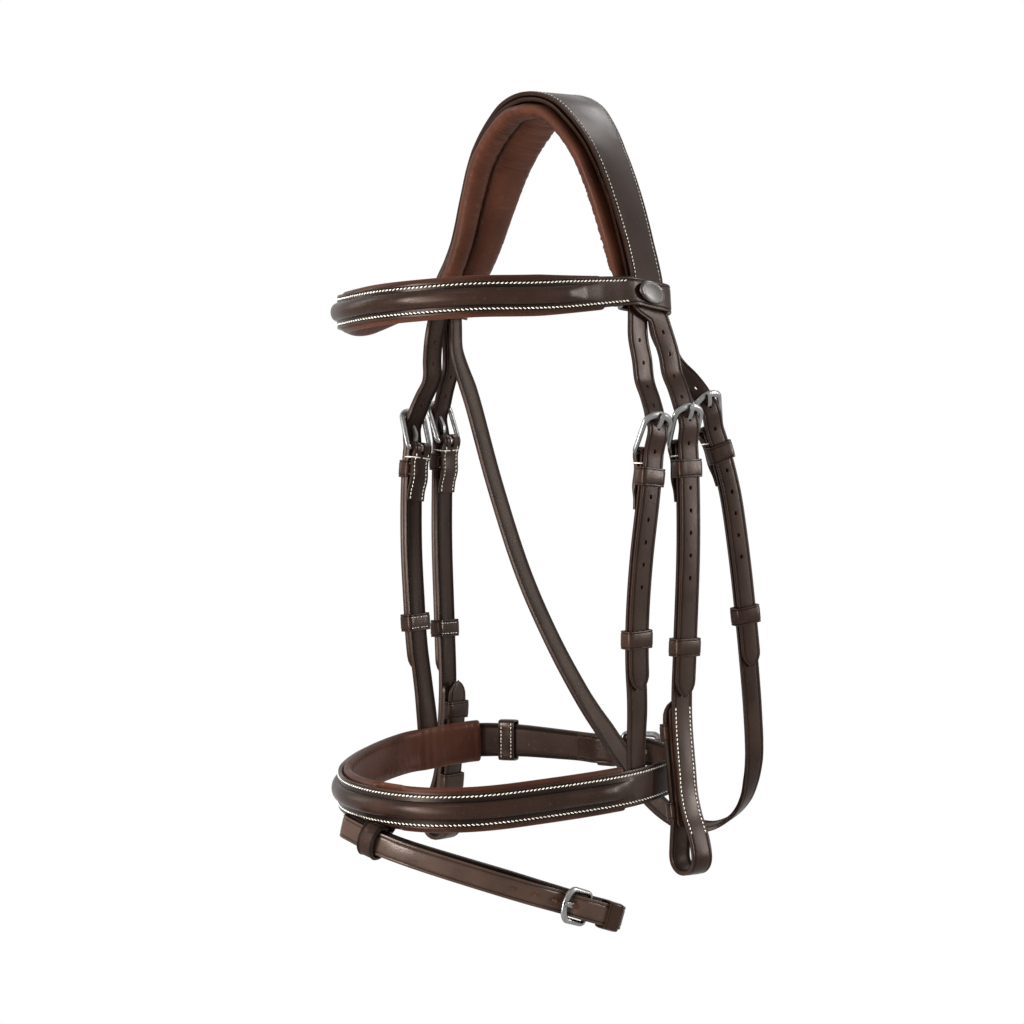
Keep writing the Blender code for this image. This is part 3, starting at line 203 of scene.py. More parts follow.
billet_rise = (
    (1.75, -0.35), (1.40, 0.45), (1.15, 0.92), (0.98, 1.18), (0.84, 1.44), (0.72, 1.90),
    (0.61, 2.20), (0.51, 2.25), (0.41, 2.10), (0.31, 1.80), (0.12, 1.25), (0.00, 1.00),
)
round_end = ((1.30, 1.00), (0.90, 0.96), (0.52, 0.80), (0.22, 0.55), (0.05, 0.28))


def curve_shares(part):
    """How much the start, the end and the ways out of them count in a place on a smooth curve."""
    square = part * part
    cube = square * part
    return 2 * cube - 3 * square + 1, 3 * square - 2 * cube, cube - 2 * square + part, cube - square


class Line:
    """A smooth line on the head, with the way it faces, measured by distance."""

    samples = 14
    ring_step = 0.009

    def __init__(self, places, faces, closed=False):
        places = [Vector(spot) for spot in places]
        faces = [Vector(face) for face in faces]
        if not closed:
            places = [places[0] * 2 - places[1]] + places + [places[-1] * 2 - places[-2]]
            faces = [faces[0] * 2 - faces[1]] + faces + [faces[-1] * 2 - faces[-2]]
        count = len(places)
        first = 0 if closed else 1
        self.closed = closed
        self.points = []
        self.faces = []
        for span in range(first, first + (count if closed else count - 3)):
            before, start, end, after = (places[(span + step) % count] for step in (-1, 0, 1, 2))
            for step in range(self.samples):
                part = step / self.samples
                near, far, leaving, arriving = curve_shares(part)
                point = start * near + (end - before) / 2 * leaving
                point += end * far + (after - start) / 2 * arriving
                self.points.append(point)
                self.faces.append(faces[span % count].lerp(faces[(span + 1) % count], part))
        if not closed:
            self.points.append(places[-2])
            self.faces.append(faces[-2])
        self.distances = [0.0]
        ends = self.points[1:] + (self.points[:1] if closed else [])
        for start, end in zip(self.points, ends):
            self.distances.append(self.distances[-1] + (end - start).length)
        self.length = self.distances[-1]
        self.step = self.length / round(self.length / self.ring_step) if closed else ribbon_step

    def spot(self, distance):
        if self.closed:
            distance %= self.length
        last = len(self.distances) - 2
        index = 0
        while index < last and self.distances[index + 1] < distance:
            index += 1
        part = (distance - self.distances[index]) / (self.distances[index + 1] - self.distances[index])
        after = (index + 1) % len(self.points)
        held = min(max(part, 0.0), 1.0)
        point = self.points[index].lerp(self.points[after], part)
        return point, self.faces[index].lerp(self.faces[after], held)

    def at(self, distance):
        point, face = self.spot(distance)
        reach = ribbon_step / 2
        along = (self.spot(distance + reach)[0] - self.spot(distance - reach)[0]).normalized()
        outward = (face - along * face.dot(along)).normalized()
        return point, along, outward.cross(along), outward

    def at_height(self, height):
        for index in range(len(self.points) - 1):
            upper = self.points[index].z
            lower = self.points[index + 1].z
            if lower <= height <= upper:
                part = (upper - height) / max(upper - lower, 1e-12)
                return self.distances[index] + part * (self.distances[index + 1] - self.distances[index])
        return self.length

    def nearest(self, point):
        lengths = [(spot - Vector(point)).length for spot in self.points]
        return self.distances[lengths.index(min(lengths))]

    def grid(self, start, end):
        sign = 1 if end > start else -1
        first, last = sorted((start, end))
        inner = [
            index * self.step
            for index in range(math.ceil(first / self.step), math.floor(last / self.step) + 1)
            if index * self.step - first > self.step * 0.3 and last - index * self.step > self.step * 0.3
        ]
        return [start] + inner[::sign] + [end]

    def run(self, start, end, offset, width):
        """Path places at one offset and width, from one distance to another."""
        return [(distance, offset, 0.0, width) for distance in self.grid(start, end)]


def side_line(side, low_line, low_faces, extra=()):
    places = [Vector((x * side, y, z)) for x, y, z in crown_line + low_line]
    faces = [Vector((x * side, y, z)) for x, y, z in crown_faces + low_faces]
    return Line(places + [spot for spot, _ in extra], faces + [face for _, face in extra])


def share_between(value, start, end):
    return min(max((value - start) / (end - start), 0.0), 1.0)


def laid(line, path, mirror=1):
    """Places (point, across, width, roll) of a strap from its (distance, offset, shift, width) path."""
    places = []
    for distance, offset, shift, width, *held in path:
        point, along, across, outward = line.at(held[0] if held else distance)
        if held:
            point = point + along * (distance - held[0])
        across = across * mirror
        places.append([point + outward * offset + across * shift, across, width, 0.0])
    return places


def fine(places, step=0.0024):
    """The same places with smooth ones between them: (point, along, across, outward, width, roll)."""
    points = [place[0] for place in places]
    alongs = []
    for index, point in enumerate(points):
        back = point - points[index - 1] if index else None
        ahead = points[index + 1] - point if index + 1 < len(points) else None
        if back is None or ahead is None:
            alongs.append((ahead or back).normalized())
        else:
            mean = back.normalized() * ahead.length + ahead.normalized() * back.length
            alongs.append(mean.normalized())
    rows = []
    for index in range(len(points) - 1):
        start, end = points[index], points[index + 1]
        reach = (end - start).length
        bits = max(1, round(reach / step))
        for bit in range(bits + (index == len(points) - 2)):
            part = bit / bits
            near, far, leaving, arriving = curve_shares(part)
            point = start * near + end * far
            point += alongs[index] * (reach * leaving)
            point += alongs[index + 1] * (reach * arriving)
            along = alongs[index].lerp(alongs[index + 1], part).normalized()
            across = places[index][1].lerp(places[index + 1][1], part)
            outward = along.cross(across).normalized()
            width, roll = (places[index][i] * (1 - part) + places[index + 1][i] * part for i in (2, 3))
            rows.append((point, along, outward.cross(along), outward, width, roll))
    return rows


def travel(rows):
    """How far along a strap or pad each of its rows is."""
    reached = [0.0]
    for before, after in zip(rows, rows[1:]):
        reached.append(reached[-1] + (after[0] - before[0]).length)
    return reached


def mend_mesh(merge=None, outward=True):
    """Merges the doubled corners of the active piece and turns its faces outwards."""
    bpy.ops.object.mode_set(mode="EDIT")
    bpy.ops.mesh.select_all(action="SELECT")
    if merge:
        bpy.ops.mesh.remove_doubles(threshold=merge)
    if outward:
        bpy.ops.mesh.normals_make_consistent(inside=False)
    bpy.ops.object.mode_set(mode="OBJECT")


edge_columns = 6
crease_table = (
    (0.0, -0.00022), (0.42, 0.00002), (0.84, -0.00006), (1.0, -0.00040), (1.18, -0.00006), (1.8, 0.0001),
)
# Painted shade in the base colour: its share in the crease columns near each edge and in the valleys beside a
# raised roll.
crease_shade_strength = {2: 0.25, 3: 1.0, 4: 0.35}
roll_valley_shade = {5: 0.45, 6: 0.95, 7: 0.60, 8: 0.20}
roll_height = 0.0043
pattern_width = 0.03


def crease_columns(width, edge):
    """How far in from its edge a strap's columns lie, and how far the crease sinks or lifts each."""
    half = width / 2
    sink = min(1.0, half / 0.006)
    return [(min(share * edge, half * share / 2.4), depth * sink) for share, depth in crease_table]


def lay_strap(
    name, rows, finishes, thickness=strap_thickness, roll=None, closed=False, round_off=0.0007, crease=0.0019,
    skived=0.0
):
    """Cuts a flat grid, creases it, lays it along the rows, stores painted shade for its creases and roll
    valleys, and gives it its thickness.
    """
    roll_columns = edge_columns if roll else 0
    half_columns = edge_columns + roll_columns
    bpy.ops.mesh.primitive_grid_add(x_subdivisions=2 * half_columns, y_subdivisions=len(rows) - 1, size=2.0)
    strap = bpy.context.object
    strap.name = strap.data.name = name
    travelled = travel(rows)
    across_place = {}
    shade_shares = []
    pared = strap.vertex_groups.new(name="pared")
    for vertex in strap.data.vertices:
        column = round((vertex.co.x + 1) * half_columns)
        row = round((vertex.co.y + 1) / 2 * (len(rows) - 1))
        point, _, across, outward, width, swell = rows[row]
        creases = crease_columns(width, crease)
        step = min(column, 2 * half_columns - column)
        side = -1 if column < half_columns else 1
        if step < edge_columns:
            inset, rise = creases[step]
            reach = width / 2 - inset
        else:
            inset, rise = creases[-1]
            spread = min(roll, width - 2 * inset - edge_inset) / 2 if roll else 0.0
            turn = (half_columns - step) / max(roll_columns, 1) * math.pi / 2
            reach = spread * math.sin(turn)
            if roll:
                rise += swell * roll_height * math.cos(turn) ** 0.9
        reach *= -side
        whole = share_between(travelled[row], skived, skived + skived_slope) if skived else 1.0
        pared.add([vertex.index], whole, "REPLACE")
        # Painted shade: darkens the colour in the edge creases and in the valleys beside the roll.
        shade_shares.append(max(crease_shade_strength.get(step, 0.0), swell * roll_valley_shade.get(step, 0.0)))
        vertex.co = point + across * reach + outward * (thickness / 2 + rise)
        across_place[vertex.index] = (travelled[row], reach / pattern_width + 0.5)
    pattern = strap.data.uv_layers.active.data
    for loop in strap.data.loops:
        pattern[loop.index].uv = across_place[loop.vertex_index]
    # The painted shade goes to the leather materials as a point attribute.
    painted_shading = strap.data.attributes.new("painted_shading", "FLOAT", "POINT")
    painted_shading.data.foreach_set("value", shade_shares)
    for finish in finishes:
        strap.data.materials.append(finish)
    if closed:
        mend_mesh(merge_reach, False)
    wall = strap.modifiers.new("leather_thickness", "SOLIDIFY")
    wall.thickness = thickness
    wall.offset = -1.0
    wall.vertex_group = "pared"
    wall.thickness_vertex_group = skived_thickness / strap_thickness
    wall.material_offset = 1
    wall.material_offset_rim = 2
    edges = strap.modifiers.new("rounded_edges", "BEVEL")
    edges.width = round_off
    edges.segments = 3
    edges.limit_method = "ANGLE"
    edges.angle_limit = math.radians(50)
    bpy.ops.object.modifier_apply(modifier="leather_thickness")
    bpy.ops.object.modifier_apply(modifier="rounded_edges")
    bpy.ops.object.shade_smooth_by_angle(angle=math.radians(42))
    return strap


def cut_out(strap, tool, name):
    """Cuts a tool's shape out of a strap; the new faces take the colour of raw cut leather."""
    tool.data.materials.append(strap.data.materials[3])
    hole = strap.modifiers.new(name, "BOOLEAN")
    hole.operation = "DIFFERENCE"
    hole.solver = "EXACT"
    hole.material_mode = "TRANSFER"
    hole.object = tool
    bpy.ops.object.select_all(action="DESELECT")
    strap.select_set(True)
    bpy.context.view_layer.objects.active = strap
    bpy.ops.object.modifier_apply(modifier=name)
    bpy.data.objects.remove(tool)


def pierce(strap, spots):
    """Punches (centre, axis, side, half width, half height, half depth) holes through a strap."""
    punches = []
    for centre, axis, side, half_width, half_height, half_depth in spots:
        bpy.ops.mesh.primitive_cylinder_add(vertices=20, radius=1.0, depth=2.0)
        turn = Matrix((side, axis.cross(side), axis)).transposed().to_4x4()
        size = Matrix.Diagonal((half_width, half_height, half_depth, 1.0))
        bpy.context.object.data.transform(Matrix.Translation(centre) @ turn @ size)
        punches.append(bpy.context.object)
    for punch in punches:
        punch.select_set(True)
    bpy.context.view_layer.objects.active = punches[0]
    bpy.ops.object.join()
    mend_mesh()
    cut_out(strap, bpy.context.object, "punched")


def add_ramp(tree, *stops):
    """A colour ramp with its (position, colour) stops."""
    ramp = add_node(tree, "ValToRGB")
    for element, (position, colour) in zip(ramp.color_ramp.elements, stops):
        element.position = position
        element.color = (*colour, 1.0)
    return ramp


def leather_finish(
    name, colour, roughness=0.31, grain=0.08, worn=(0.046, 0.025, 0.017), scale=1.0, gleam=0.30
):
    """Drum-dyed leather: a fine pore grain, cloudy dye, wipe marks in the gloss, paler high spots, and
    painted shade that darkens its creases and roll valleys.
    """
    material, tree, shader = new_material(name)
    # Dark and pale make the cloudy dye; the third is the painted shade colour, a tenth of the leather's own.
    dark, pale, shade_colour = ([part * share for part in colour] for share in (0.72, 1.25, 0.10))
    coords = add_node(tree, "TexCoord")
    cloud = add_node(tree, "TexNoise", {"Scale": 34.0, "Detail": 5.0})
    tone = add_ramp(tree, (0.32, dark), (0.72, pale))
    pores = add_node(tree, "TexVoronoi", {"Scale": 1150.0 * scale})
    fibre = add_node(tree, "TexNoise", {"Scale": 520.0 * scale, "Detail": 6.0})
    height = add_node(tree, "Math", operation="ADD")
    bump = add_node(tree, "Bump", {"Strength": grain, "Distance": 0.0004})
    wiped = {"From Min": 0.3, "From Max": 0.7, "To Min": roughness - 0.06, "To Max": roughness + 0.10}
    gloss = add_node(tree, "MapRange", wiped)
    speck = add_node(tree, "MapRange", {"From Min": 0.62, "From Max": 0.80})
    wear = add_node(tree, "Mix", {"B": (*worn, 1.0)}, data_type="RGBA")
    # Painted shade: the colour falls towards the shade colour by the painted shading attribute.
    painted_shading = add_node(tree, "Attribute", attribute_name="painted_shading")
    painted_shade_mix = add_node(tree, "Mix", {"B": (*shade_colour, 1.0)}, data_type="RGBA")
    link_nodes(
        tree, *((coords, "Object", texture, "Vector") for texture in (cloud, pores, fibre)),
        (cloud, "Fac", tone, "Fac"), (cloud, "Fac", gloss, "Value"), (gloss, "Result", shader, "Roughness"),
        (fibre, "Fac", speck, "Value"), (speck, "Result", wear, "Factor"), (tone, "Color", wear, "A"),
        (painted_shading, "Fac", painted_shade_mix, "Factor"), (wear, "Result", painted_shade_mix, "A"),
        (painted_shade_mix, "Result", shader, "Base Color"), (pores, "Distance", height, 0), (fibre, "Fac", height, 1),
        (height, "Value", bump, "Height"), (bump, "Normal", shader, "Normal"),
    )
    shader.inputs["Specular IOR Level"].default_value = gleam
    shader.inputs["Specular Tint"].default_value = (1.0, 0.80, 0.70, 1.0)
    shader.inputs["IOR"].default_value = 1.34
    return material


grain_side = leather_finish("grain_side", (0.0185, 0.0086, 0.0056))
flesh_side = leather_finish(
    "flesh_side", (0.0215, 0.0120, 0.0088), 0.44, 0.20, (0.052, 0.030, 0.021), 0.6, gleam=0.14
)
burnished_edge = leather_finish("burnished_edge", (0.0150, 0.0062, 0.0038), 0.30, 0.04, (0.034, 0.017, 0.011))
punched_edge = leather_finish("punched_edge", (0.060, 0.020, 0.011), 0.75, 0.25, (0.090, 0.036, 0.021))
strap_finishes = (grain_side, flesh_side, burnished_edge, punched_edge)


def arc_path(distance, radius, width):
    path = []
    for step in range(8):
        turn = math.pi * (step / 8 - 0.5)
        path.append((distance - radius * math.cos(turn), radius * (math.sin(turn) - 1), 0.0, width, distance))
    return path


def end_path(distance, offset, width, sign=1, shares=round_end):
    return [(distance - sign * part * width / 2, offset, 0.0, wide * width) for part, wide in shares]


def billet_path(line, bar, length, drop, width, top=0.0, rises=billet_rise):
    """A punched end from above its buckle, behind the round end and over the fold to its tip."""
    path = []
    for share, rise in rises[:-1]:
        behind = top * share_between(share, 0.98, 1.75)
        path.append((bar - share * length, rise * strap_pitch + behind, 0.0, width))
    straight_end = bar + drop - round_end[0][0] * width / 2
    path += [(bar, strap_pitch, 0.0, width), (bar + 0.0030, strap_pitch, 0.0, width)]
    path += line.run(bar, straight_end, strap_pitch, width)[1:-1]
    return path + end_path(bar + drop, strap_pitch, width)


def line_frame(line, distance, offset=0.0):
    """X across, Y back along the line and Z outwards, at a place on a line."""
    point, along, _, outward = line.at(distance)
    turn = Matrix(((-along).cross(outward), -along, outward)).transposed().to_4x4()
    return Matrix.Translation(point + outward * offset) @ turn


full_lean = 24.0
small_lean = 14.0
tongue_thickness = 0.0016
tongue_lift = buckle_wire / 2 + pivot_clearance + tongue_thickness / 2


def buckle_lean(length):
    return Matrix.Rotation(math.radians(full_lean if length == buckle_length else small_lean), 4, "X")


def tongue_spot(line, bar, length):
    """The hole that a buckle's tongue passes through, across the way the tongue lies."""
    tilted = line_frame(line, bar, -fold_reach) @ buckle_lean(length)
    along, rise = (0.700, 0.52) if length == buckle_length else (0.585, 0.50)
    centre = tilted @ Vector((0.0, along * length, rise * tongue_lift + 0.00045))
    turn = tilted.to_3x3()
    return (centre, turn @ Vector((0, 1, 0)), turn @ Vector((1, 0, 0)), 0.0017, 0.0016, 0.0052)


def hole_spots(line, bar, length, drop, rows, above=5, top_height=browband_height - 0.016):
    """The prong's hole and the row of small oval ones, set in the middle of the laid leather."""
    spots = [tongue_spot(line, bar, length)]
    first = bar - billet_rise[6][0] * length
    for step in range(-above, 8):
        distance = first + step * hole_pitch
        under_keeper = abs(distance - bar - fixed_keeper_drop) < keeper_length / 2 + 0.0015
        point, _, _, outward = line.at(distance)
        if step == 0 or under_keeper or distance > bar + drop - hole_pitch or point.z > top_height:
            continue
        target = point + outward * strap_pitch
        near, along, across, face = min(rows, key=lambda row: (row[0] - target).length_squared)[:4]
        spots.append((near + along * (target - near).dot(along), face, across, 0.0012, 0.0015, 0.0020))
    return spots


cheeks = {side: side_line(side, cheek_line, [(1.00, -0.10, 0.00)] * len(cheek_line)) for side in (-1, 1)}


def crown_width(line, distance):
    loop = line.at_height(browband_height)
    share = share_between(distance, loop * 0.10, loop * 0.80)
    return crown_width_poll + (crown_width_side - crown_width_poll) * share


def two_sided(paths, lines):
    off = laid(lines[-1], paths[-1], -1)[::-1]
    return off + laid(lines[1], paths[1], 1)[1:]


crown_paths = {}
for side in (-1, 1):
    line = cheeks[side]
    bar = line.at_height(cheek_bar_height)
    neck = line.at_height(browband_height) + loop_width * 0.2
    billet = billet_path(line, bar, buckle_length, cheek_billet_drop, strap_width)
    rear = (crown_width_side - strap_width) / 2
    path = [(distance, 0.0, 0.0, crown_width(line, distance)) for distance in line.grid(0.0, neck)]
    for distance in line.grid(neck, billet[0][0])[1:-1]:
        share = share_between(distance, neck, billet[0][0])
        path.append((distance, billet[0][1] * share, rear * (1 - share), strap_width))
    crown_paths[side] = path + billet
crown_rows = fine(two_sided(crown_paths, cheeks))
cheek_holes = []
for line in cheeks.values():
    bar = line.at_height(cheek_bar_height)
    cheek_holes += hole_spots(line, bar, buckle_length, cheek_billet_drop, crown_rows)
headpiece = lay_strap("headpiece_leather", crown_rows, strap_finishes)
pierce(headpiece, cheek_holes)


def dress(piece, body, finish_slot, *nodes):
    """The finished piece stands for its CAD nodes, which it hides, and moves with its body; finish_slot is
    not used.
    """
    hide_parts(*nodes)
    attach(piece, body)


dress(headpiece, "bridle", "bridle_leather", "headpiece")

linen, twine, twine_shader = new_material("waxed_linen")
twine_coords = add_node(twine, "TexCoord")
twine_twist = add_node(twine, "TexNoise", {"Scale": 900.0})
twine_tone = add_ramp(twine, (0.35, (0.50, 0.44, 0.36)), (0.62, (0.82, 0.78, 0.70)))
twine_bump = add_node(twine, "Bump", {"Strength": 0.35, "Distance": 0.0002})
link_nodes(
    twine, (twine_coords, "Object", twine_twist, "Vector"), (twine_twist, "Fac", twine_tone, "Fac"),
    (twine_tone, "Color", twine_shader, "Base Color"), (twine_twist, "Fac", twine_bump, "Height"),
    (twine_bump, "Normal", twine_shader, "Normal"),
)
twine_shader.inputs["Roughness"].default_value = 0.62


def stitch_places(
    rows, inset, first, last, sides=(-1, 1), slant=0.32, pitch=0.0028, thickness=strap_thickness
):
    """One matrix for each stitch of the rows of sewing, between two shares of the strap's length."""
    travelled = travel(rows)
    places = []
    for side in sides:
        index = 0
        distance = travelled[-1] * first
        while distance < travelled[-1] * last:
            while travelled[index + 1] < distance:
                index += 1
            part = (distance - travelled[index]) / (travelled[index + 1] - travelled[index])
            start, end = rows[index], rows[index + 1]
            point, along, across, outward = (start[i].lerp(end[i], part) for i in range(4))
            width = start[4] * (1 - part) + end[4] * part
            spot = point + across * (side * (width / 2 - inset)) + outward * (thickness / 2 + 0.00010)
            lie = (along + across * slant * side).normalized()
            turn = Matrix((outward.cross(lie), lie, outward)).transposed().to_4x4()
            places.append(Matrix.Translation(spot) @ turn)
            distance += pitch
    return places


def sew(name, places, body, length=0.0020, bulk=0.00034):
    """Models one stitch and sets a copy of it at each place, all in one piece of thread."""
    bpy.ops.mesh.primitive_uv_sphere_add(segments=6, ring_count=5, radius=1.0)
    stitch = bpy.context.object
    stitch.data.transform(Matrix.Diagonal((bulk, bulk, length / 2, 1.0)))
    stitch.data.transform(Matrix.Rotation(math.pi / 2, 4, "X"))
    shape = [vertex.co.copy() for vertex in stitch.data.vertices]
    faces = [tuple(face.vertices) for face in stitch.data.polygons]
    points = []
    sides = []
    for index, place in enumerate(places):
        points += [place @ corner for corner in shape]
        sides += [tuple(corner + index * len(shape) for corner in face) for face in faces]
    bpy.data.objects.remove(stitch)
    mesh = bpy.data.meshes.new(name)
    mesh.from_pydata(points, [], sides)
    thread = bpy.data.objects.new(name, mesh)
    scene.collection.objects.link(thread)
    thread.data.materials.append(linen)
    thread.data.shade_smooth()
    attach(thread, body)
    return thread


def row_below(rows, height, side):
    """The first row of a strap that lies below a height on one side of the head."""
    middle = len(rows) // 2
    for index in range(middle, len(rows)) if side > 0 else range(middle, -1, -1):
        if rows[index][0].z < height:
            return index
    return len(rows) - 1


def travel_share(rows, index):
    travelled = travel(rows)
    return travelled[index] / travelled[-1]


sewn_to = browband_height + 0.010
first, last = (travel_share(crown_rows, row_below(crown_rows, sewn_to, side)) for side in (-1, 1))
sew("headpiece_stitching", stitch_places(crown_rows, 0.0030, first, last, slant=0.12), "bridle")

# Noseband headstrap: the layer under the crown, which comes out below the browband as two nose billets.
# The same leather, punched with a row of holes on each side and rounded at its ends.
nose_bar_height = -0.221
nose_billet_drop = 0.152
nose_sewn_shift = 0.0066
throat_start_height = -0.070
noseband_width = 0.0235
nose_line = [
    (0.0992, -0.014, -0.141), (0.1045, -0.016, -0.173), (0.1083, -0.0184, -0.197),
    (0.111, -0.0214, -0.221), (0.1105, -0.0244, -0.25), (0.1075, -0.0272, -0.288),
    (0.1045, -0.0276, -0.325), (0.103, -0.0264, -0.355), (0.1015, -0.0232, -0.3825),
]
nose_faces = [(1.00, -0.06, 0.00)] * len(nose_line)
noseband_line = [
    (0.016, 0.0544, -0.4246), (-0.008, 0.048, -0.4241), (-0.033, 0.043, -0.4235),
    (-0.068, 0.0344, -0.4228), (-0.0915, 0.0196, -0.4231), (-0.0985, 0, -0.4244),
    (-0.1025, -0.022, -0.4261), (-0.102, -0.05, -0.4285), (-0.086, -0.094, -0.4328),
    (-0.059, -0.135, -0.4374), (-0.031, -0.157, -0.4404), (0, -0.166, -0.4424),
    (0.03, -0.1644, -0.4435), (0.056, -0.153, -0.4436), (0.077, -0.128, -0.4424),
    (0.092, -0.086, -0.4395), (0.1015, -0.048, -0.4367), (0.103, -0.022, -0.4346),
    (0.099, 0.002, -0.4324), (0.092, 0.023, -0.4304), (0.074, 0.047, -0.4276), (0.05, 0.054, -0.4261),
    (0.032, 0.0556, -0.4252),
]
ring_places = [Vector(spot) for spot in noseband_line]
upright = Vector((0, 0, 1))
ring_faces = [
    (ring_places[(index + 1) % len(ring_places)] - ring_places[index - 1]).cross(upright).normalized()
    for index in range(len(ring_places))
]
ring = Line(ring_places, ring_faces, True)
noses = {}
hangers = {}
for side in (-1, 1):
    hangers[side] = ring.nearest((0.1032 * side, -0.0200, -0.4285))
    point, _, across, outward = ring.at(hangers[side])
    ends = []
    for rise in (noseband_width * 0.5 + keeper_length / 2, 0.0, -noseband_width * 0.3):
        ends.append((point - outward * (strap_pitch + crown_ease) + across * rise, outward))
    noses[side] = side_line(side, nose_line, nose_faces, ends)

headstrap_paths = {}
for side in (-1, 1):
    line = noses[side]
    bar = line.at_height(nose_bar_height)
    neck = line.at_height(browband_height)
    sewn = line.at_height(throat_start_height)
    billet = billet_path(line, bar, buckle_length, nose_billet_drop, strap_width, -strap_pitch)
    path = []
    for distance in line.grid(0.0, billet[0][0])[:-1]:
        narrow = share_between(distance, sewn * 0.35, sewn - ribbon_step)
        width = (crown_width_poll - 2 * edge_inset) * (1 - narrow) + strap_width * narrow
        back = share_between(distance, neck, billet[0][0])
        deep = strap_pitch + crown_ease * (1 - back)
        path.append((distance, -deep, -nose_sewn_shift * narrow * (1 - back), width))
    headstrap_paths[side] = path + billet
headstrap_rows = fine(two_sided(headstrap_paths, noses))
nose_holes = []
for line in noses.values():
    bar = line.at_height(nose_bar_height)
    nose_holes += hole_spots(line, bar, buckle_length, nose_billet_drop, headstrap_rows)
headstrap = lay_strap("headstrap_leather", headstrap_rows, strap_finishes)
pierce(headstrap, nose_holes)
dress(headstrap, "bridle", "bridle_leather", "noseband_headstrap")

# Headpiece pad: soft red-brown lining leather over two rolls of foam, with a sewn channel between them.
# It is stitched under the crown from one browband loop to the other, and wrinkles where it bends.
lining_leather = leather_finish(
    "lining_leather", (0.050, 0.0160, 0.0084), 0.42, 0.16, (0.070, 0.026, 0.016), 0.55, gleam=0.22
)
crown_pad_section = (
    (-0.53, 0.20), (-0.535, 0.48), (-0.50, 0.78), (-0.43, 0.96), (-0.34, 1.00), (-0.25, 0.92), (-0.19, 0.72),
    (-0.155, 0.40), (-0.14, 0.28), (-0.12, 0.42), (-0.08, 0.66), (0.02, 0.84), (0.18, 0.92), (0.34, 0.86),
    (0.44, 0.72), (0.50, 0.50), (0.51, 0.28), (0.46, 0.00), (0.20, 0.00), (-0.20, 0.00), (-0.47, 0.00),
)
pad_end_length = 0.012
crown_pad_steps = 44
crown_pad_width_poll = 0.056
crown_pad_width_side = 0.036
crown_pad_depth = 0.0095


def pad_swell(distance, start, end):
    near = min(distance - start, end - distance) / pad_end_length
    for (first, low), (last, high) in (((0.0, 0.45), (0.25, 0.75)), ((0.25, 0.75), (1.0, 1.0))):
        if near <= last:
            return low + (high - low) * share_between(near, first, last)
    return 1.0


def stuff_pad(name, places, section, seed, creased=0.00013):
    """A closed grid bent to the pad's section, filled out by subdivision and creased like soft leather."""
    around = len(section)
    bpy.ops.mesh.primitive_grid_add(x_subdivisions=around, y_subdivisions=len(places) - 1, size=2.0)
    pad = bpy.context.object
    pad.name = pad.data.name = name
    for vertex in pad.data.vertices:
        column = round((vertex.co.x + 1) / 2 * around) % around
        row = round((vertex.co.y + 1) / 2 * (len(places) - 1))
        point, across, outward, width, depth = places[row]
        out, part = section[column]
        vertex.co = point + across * (out * width) - outward * (part * depth)
    mend_mesh(merge_reach, False)
    bpy.ops.object.mode_set(mode="EDIT")
    bpy.ops.mesh.select_all(action="DESELECT")
    bpy.ops.mesh.select_non_manifold()
    bpy.ops.mesh.edge_face_add()
    bpy.ops.object.mode_set(mode="OBJECT")
    mend_mesh()
    soft = pad.modifiers.new("stuffing", "SUBSURF")
    soft.levels = soft.render_levels = 2
    bpy.ops.object.modifier_apply(modifier="stuffing")
    wrinkles = random.Random(seed)
    waves = [(wrinkles.uniform(0, 6.28), wrinkles.uniform(0.8, 1.3)) for _ in range(6)]
    centres = [Vector(place[0]) for place in places]
    reach = travel(places)
    normals = [vertex.normal.copy() for vertex in pad.data.vertices]
    for vertex, normal in zip(pad.data.vertices, normals):
        nearest = min(range(len(centres)), key=lambda index: (centres[index] - vertex.co).length_squared)
        _, across, outward, width, depth = places[nearest]
        away = vertex.co - centres[nearest]
        distance = reach[nearest] + away.dot(outward.cross(across))
        aside = away.dot(across)
        inward = max(0.0, -normal.dot(outward))
        ripple = 0.0
        for number, (phase, pace) in enumerate(waves):
            ripple += math.sin(distance * (620 + 170 * number) * pace + phase + aside * 90 * math.sin(phase))
        fullness = 0.5 + 0.5 * math.sin(distance * 41 + waves[0][0])
        vertex.co += normal * (ripple * creased * (0.45 + fullness) * inward ** 2)
    pad.data.materials.append(lining_leather)
    pad.data.shade_smooth()
    return pad


crown_pad_outer = -(strap_thickness / 2 + strap_pitch + lay_gap + 2 * crown_ease)
pad_halves = {}
for side in (-1, 1):
    line = cheeks[side]
    end = line.at_height(browband_height) - loop_width / 2 - loop_clearance
    half = []
    steps = [end * step / crown_pad_steps for step in range(crown_pad_steps)]
    for distance in steps + [end - pad_end_length / 6, end]:
        point, _, across, outward = line.at(distance)
        narrowing = (crown_pad_width_side - crown_pad_width_poll) * share_between(distance, 0.0, end)
        width = crown_pad_width_poll + narrowing
        depth = crown_pad_depth * pad_swell(distance, -end, end)
        half.append((point + outward * crown_pad_outer, across * side, outward, width, depth))
    pad_halves[side] = half
pad_places = pad_halves[-1][::-1] + pad_halves[1][1:]
headpiece_pad = stuff_pad("headpiece_lining", pad_places, crown_pad_section, 11)
dress(headpiece_pad, "bridle", "lining_leather", "headpiece_pad")

